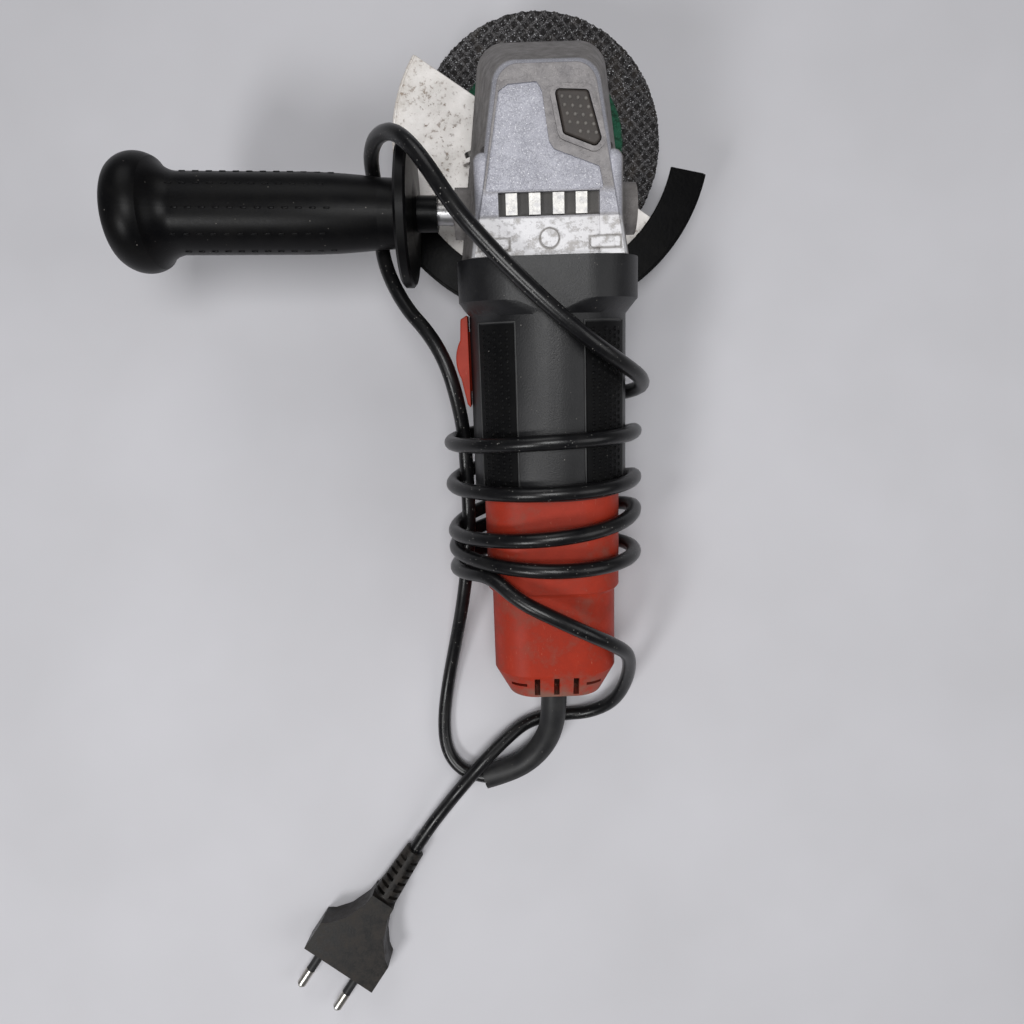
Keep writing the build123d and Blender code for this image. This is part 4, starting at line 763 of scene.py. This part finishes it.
def grip_dashes():
    vertices = []
    faces = []
    seat = Vector((-HANDLE_SEAT, HANDLE_Y, 0))
    corners = len(DASH_OUTLINE)
    for row in range(DASH_ROWS):
        turn = 2 * pi * row / DASH_ROWS
        side = GRIP_AXIS.cross(Vector((0, 0, 1))).normalized()
        outward = Vector((0, 0, 1)) * cos(turn) + side * sin(turn)
        across = GRIP_AXIS.cross(outward)
        for index in range(DASHES):
            distance = DASH_START + DASH_STEP * (index + 0.5 * (row % 2))
            centre = seat + GRIP_AXIS * distance + outward * grip_radius(distance)
            base = len(vertices)
            for share, lift in ((1.0, -0.6), (1.0, 0.5), (0.72, 1.0)):
                for a, b in DASH_OUTLINE:
                    long = GRIP_AXIS * (a * DASH_LENGTH / 2 * (0.5 + share / 2))
                    wide = across * (b * DASH_WIDTH / 2 * share)
                    vertices.append(centre + long + wide + outward * (DASH_RISE * lift))
            for level in range(2):
                for step in range(corners):
                    a = base + level * corners + step
                    b = base + level * corners + (step + 1) % corners
                    faces.append((a, b, b + corners, a + corners))
            faces.append(tuple(base + 2 * corners + step for step in range(corners)))
    return piece_from("grip_dashes", vertices, faces, handle_black, "handle_body")


grip_dashes()

# ---- cord, sleeve and plug ----------------------------------------------------------------
# Round black two-core cord. It leaves the tail through a rubber sleeve, runs round the
# handle, is wound four times round the body and ends in a flat moulded plug on the bench.

CORD_D = 0.0056
LEAD = [
    (13.5, -178.4, 6.0), (6.6, -177.6, 4.6), (0.3, -173.5, 3.6), (-3.7, -166.0, 3.1),
    (-4.4, -154.5, 3.0), (-2.4, -140.0, 3.6), (1.8, -121.5, 9.0), (6.6, -102.0, 19.5),
    (9.6, -84.0, 26.0), (11.3, -67.3, 30.2), (11.2, -47.9, 35.1), (10.8, -30.6, 40.0),
    (8.4, -16.2, 48.0), (5.2, -5.2, 51.0), (-0.4, 5.4, 51.6), (-10.0, 17.0, 49.4),
    (-17.4, 33.2, 46.9), (-19.0, 47.0, 45.0), (-18.6, 57.0, 46.4), (-19.8, 64.8, 53.0),
    (-18.8, 69.2, 63.5), (-14.2, 69.6, 76.0), (-6.4, 65.2, 88.2), (2.4, 53.6, 95.2),
    (13.1, 35.6, 96.0), (25.6, 21.8, 93.0), (37.1, 10.5, 90.4), (49.1, 0.0, 87.2),
    (59.7, -7.7, 82.6), (69.4, -12.6, 74.6), (77.2, -15.1, 63.0), (80.2, -16.2, 49.2),
    (77.0, -16.1, 34.8), (67.0, -15.7, 21.2), (51.6, -16.3, 12.3), (35.1, -19.9, 12.1),
    (22.6, -27.5, 18.9),
]
TAIL = [
    (20.1, -86.6, 57.0), (30.1, -95.7, 62.3), (42.6, -102.2, 63.1), (55.1, -108.7, 60.1),
    (66.2, -114.7, 52.6), (73.4, -120.7, 40.4), (74.6, -133.0, 24.6), (70.4, -145.4, 12.5),
    (60.0, -152.0, 5.2), (47.0, -153.0, 3.0), (33.0, -155.0, 3.4), (21.5, -163.0, 8.0),
    (11.6, -171.6, 12.4), (2.4, -181.6, 12.4), (-5.2, -191.4, 8.6), (-12.1, -200.2, 6.9),
    (-18.4, -209.2, 6.9),
]
# where the turns lie along the motor axis: degrees round from the right, and mm
TURNS = [
    (230.6, -113.5), (180, -116.0), (90, -112.3), (0, -112.4), (-90, -124.0), (-180, -132.4),
    (-270, -130.7), (-360, -130.0), (-450, -141.0), (-540, -151.4), (-630, -147.1), (-720, -142.4),
    (-810, -150.5), (-900, -157.6), (-990, -159.3), (-1080, -160.0), (-1170, -163.4),
    (-1260, -166.1), (-1304.5, -163.0),
]
TURN_START = 208.0
TURN_END = -1282.0
TURN_STEPS = 66
WIND_RADIUS = 33.3
TURN_REST = 0.0038        # lowest middle of a turn above the bench, in metres
LOBE = 6.2                 # how much further out the turns go over the strand under them
LOBE_PLACE = 188.0
LOBE_SPREAD = 38.0


def turn_level(angle):
    """Place along the motor axis at an angle of the winding."""
    for (first, a), (second, b) in zip(TURNS, TURNS[1:]):
        if second <= angle <= first:
            return a + (b - a) * (first - angle) / (first - second)
    return TURNS[-1][1]


def winding():
    """Points of the turns, from the end of the lead to the start of the tail."""
    points = []
    for step in range(TURN_STEPS + 1):
        angle = TURN_START + (TURN_END - TURN_START) * step / TURN_STEPS
        away = (angle - LOBE_PLACE + 180) % 360 - 180
        radius = WIND_RADIUS + LOBE * exp(-(away / LOBE_SPREAD) ** 2)
        turn = radians(angle)
        point = TOOL @ Vector((radius * cos(turn), turn_level(angle), radius * sin(turn)))
        point.z = max(point.z, TURN_REST)
        points.append(point)
    return points


def nurbs(name, points, thickness, finish, widths=None):
    """A round cord or sleeve along one smooth open spline."""
    curve = bpy.data.curves.new(name, "CURVE")
    curve.dimensions = "3D"
    spline = curve.splines.new("NURBS")
    spline.points.add(len(points) - 1)
    for index, point in enumerate(points):
        spline.points[index].co = (*point, 1.0)
        spline.points[index].radius = widths[index] if widths else 1.0
    spline.order_u = 3
    spline.use_endpoint_u = True
    curve.resolution_u = 10
    curve.bevel_depth = thickness / 2
    curve.bevel_resolution = 5
    curve.use_fill_caps = True
    curve.materials.append(finish)
    piece = bpy.data.objects.new(name, curve)
    bpy.context.scene.collection.objects.link(piece)
    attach(piece, "root")
    return piece


def cord_finish():
    finish = Finish("black_cord_jacket", specular_ior_level=0.35)
    place = finish.place()
    fine = finish.noise(place, 0.8, 3.0)
    soil = finish.noise(place, 7.0, 5.0, 0.65)
    speck = finish.cells(place, 1.5).rising(0.17, 0.10)
    speck = speck * finish.noise(place, 3.0).rising(0.44, 0.56)
    settled = soil.rising(0.4, 0.75) * 0.4
    colour = finish.tint(settled, (0.0040, 0.0040, 0.0048), (0.022, 0.021, 0.020))
    colour = finish.tint(speck * 0.6, colour, (0.30, 0.29, 0.27))
    rough = 0.22 + soil * 0.16 + speck * 0.2
    return finish.wear(base_color=colour, roughness=rough, normal=finish.relief(fine, 0.03))


cord_black = cord_finish()
lead = [Vector(point) * MM for point in LEAD]
tail = [Vector(point) * MM for point in TAIL]
cord = nurbs("mains_cord", lead + winding() + tail, CORD_D, cord_black)
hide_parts("cord_lead", "cord_wraps", "cord_tail")
coat(cord_black, "cord_inner")

sleeve_rubber = moulded("sleeve_rubber", (0.014, 0.014, 0.015), (0.05, 0.049, 0.047), 0.36, 0.6,
                        0.03)
SLEEVE_D = 0.0108
SLEEVE_OUT = (-209.5, -227.0)  # straight out of the tail, along the motor axis
SLEEVE_TAPER = [1.0, 1.0, 0.97, 0.93, 0.92, 0.99]
tail_out = [TOOL @ Vector((0, place, 0)) for place in SLEEVE_OUT]
SLEEVE = [(42.2, -158.0, 13.8), (35.0, -169.2, 8.8), (24.6, -175.9, 6.6), (13.5, -178.4, 6.0)]
sleeve_line = tail_out + [Vector(point) * MM for point in SLEEVE]
sleeve = nurbs("cord_strain_sleeve", sleeve_line, SLEEVE_D, sleeve_rubber, SLEEVE_TAPER)
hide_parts("cord_sleeve")

COLLAR_START = (-293.0, -278.0)  # from the flat body to the ribbed collar, along the motor axis


def plug_finish():
    finish = Finish("dusty_plug_plastic", specular_ior_level=0.2)
    place = finish.place()
    y = finish.split(place)[1]
    soil = finish.noise(place, 5.0, 5.0, 0.7)
    fine = finish.noise(place, 0.6, 3.0)
    dirt = soil.rising(0.42, 0.66)
    colour = finish.tint(dirt * 0.55, (0.008, 0.0076, 0.0074), (0.050, 0.042, 0.036))
    colour = finish.tint(fine.rising(0.5, 0.75) * 0.20, colour, (0.07, 0.06, 0.052))
    collar = y.rising(*COLLAR_START)
    colour = finish.tint(collar * (0.35 + soil * 0.5), colour, (0.12, 0.105, 0.09))
    rough = 0.36 + dirt * 0.25
    bump = finish.relief(fine + soil * 0.5, 0.05)
    return finish.wear(base_color=colour, roughness=rough, normal=bump)


plug = eased("plug_body", 0.7, "flat_plug", plug_finish())
coat(machined("plated_pin", (0.66, 0.65, 0.62), (0.40, 0.37, 0.32), 0.22, 0.4), "plug_pins")
coat(moulded("pin_sleeve_black", (0.012, 0.012, 0.013), (0.05, 0.05, 0.05), 0.4),
     "plug_pin_sleeves")

# ---- bench, light and camera --------------------------------------------------------------
# A sheet of pale grey paper under the tool, four soft lamps and faint even light from around.

floor_mesh = bpy.data.meshes.new("floor")
FLOOR_HALF = 3
floor_corners = [(-FLOOR_HALF, -FLOOR_HALF, 0), (FLOOR_HALF, -FLOOR_HALF, 0),
                 (FLOOR_HALF, FLOOR_HALF, 0), (-FLOOR_HALF, FLOOR_HALF, 0)]
floor_mesh.from_pydata(floor_corners, [], [(0, 1, 2, 3)])
paper = Finish("pale_grey_paper", roughness=0.85, specular_ior_level=0.2)
sheet_place = paper.place()
cloud = paper.noise(sheet_place, 90.0, 3.0)
fibre = paper.noise(sheet_place, 0.5, 2.0)
paper_colour = paper.tint(cloud.rising(0.3, 0.7), (0.61, 0.605, 0.635), (0.57, 0.565, 0.59))
floor_mesh.materials.append(paper.wear(base_color=paper_colour, normal=paper.relief(fibre, 0.02)))
floor = bpy.data.objects.new("floor", floor_mesh)
bpy.context.scene.collection.objects.link(floor)

camera = bpy.data.objects.new("camera", bpy.data.cameras.new("camera"))
bpy.context.scene.collection.objects.link(camera)
camera.data.angle = radians(67.2)
camera.location = (0.02867, -0.06298, 0.344)
camera.rotation_euler = (0, 0, radians(-1.8))
bpy.context.scene.camera = camera


def lamp(name, place, aim, power, size):
    """A square soft lamp; places in metres, power in watts."""
    light = bpy.data.objects.new(name, bpy.data.lights.new(name, "AREA"))
    light.data.energy = power
    light.data.size = size
    light.location = place
    light.rotation_euler = (Vector(aim) - Vector(place)).to_track_quat("-Z", "Y").to_euler()
    bpy.context.scene.collection.objects.link(light)


lamp("overhead", (0.02, -0.10, 0.95), (0.03, -0.05, 0.0), 4.0, 0.34)
lamp("key", (-0.42, -0.55, 0.75), (0.02, -0.05, 0.0), 3.4, 0.22)
lamp("right_fill", (0.75, -0.15, 0.65), (0.03, -0.05, 0.0), 1.8, 0.55)
lamp("back_fill", (-0.15, 0.80, 0.70), (0.02, -0.05, 0.0), 1.8, 0.55)
world = bpy.data.worlds.new("world")
bpy.context.scene.world = world
world.use_nodes = True
background = world.node_tree.nodes["Background"]
background.inputs["Color"].default_value = (0.90, 0.92, 0.96, 1)
background.inputs["Strength"].default_value = 0.10
bpy.context.scene.view_settings.view_transform = "Standard"
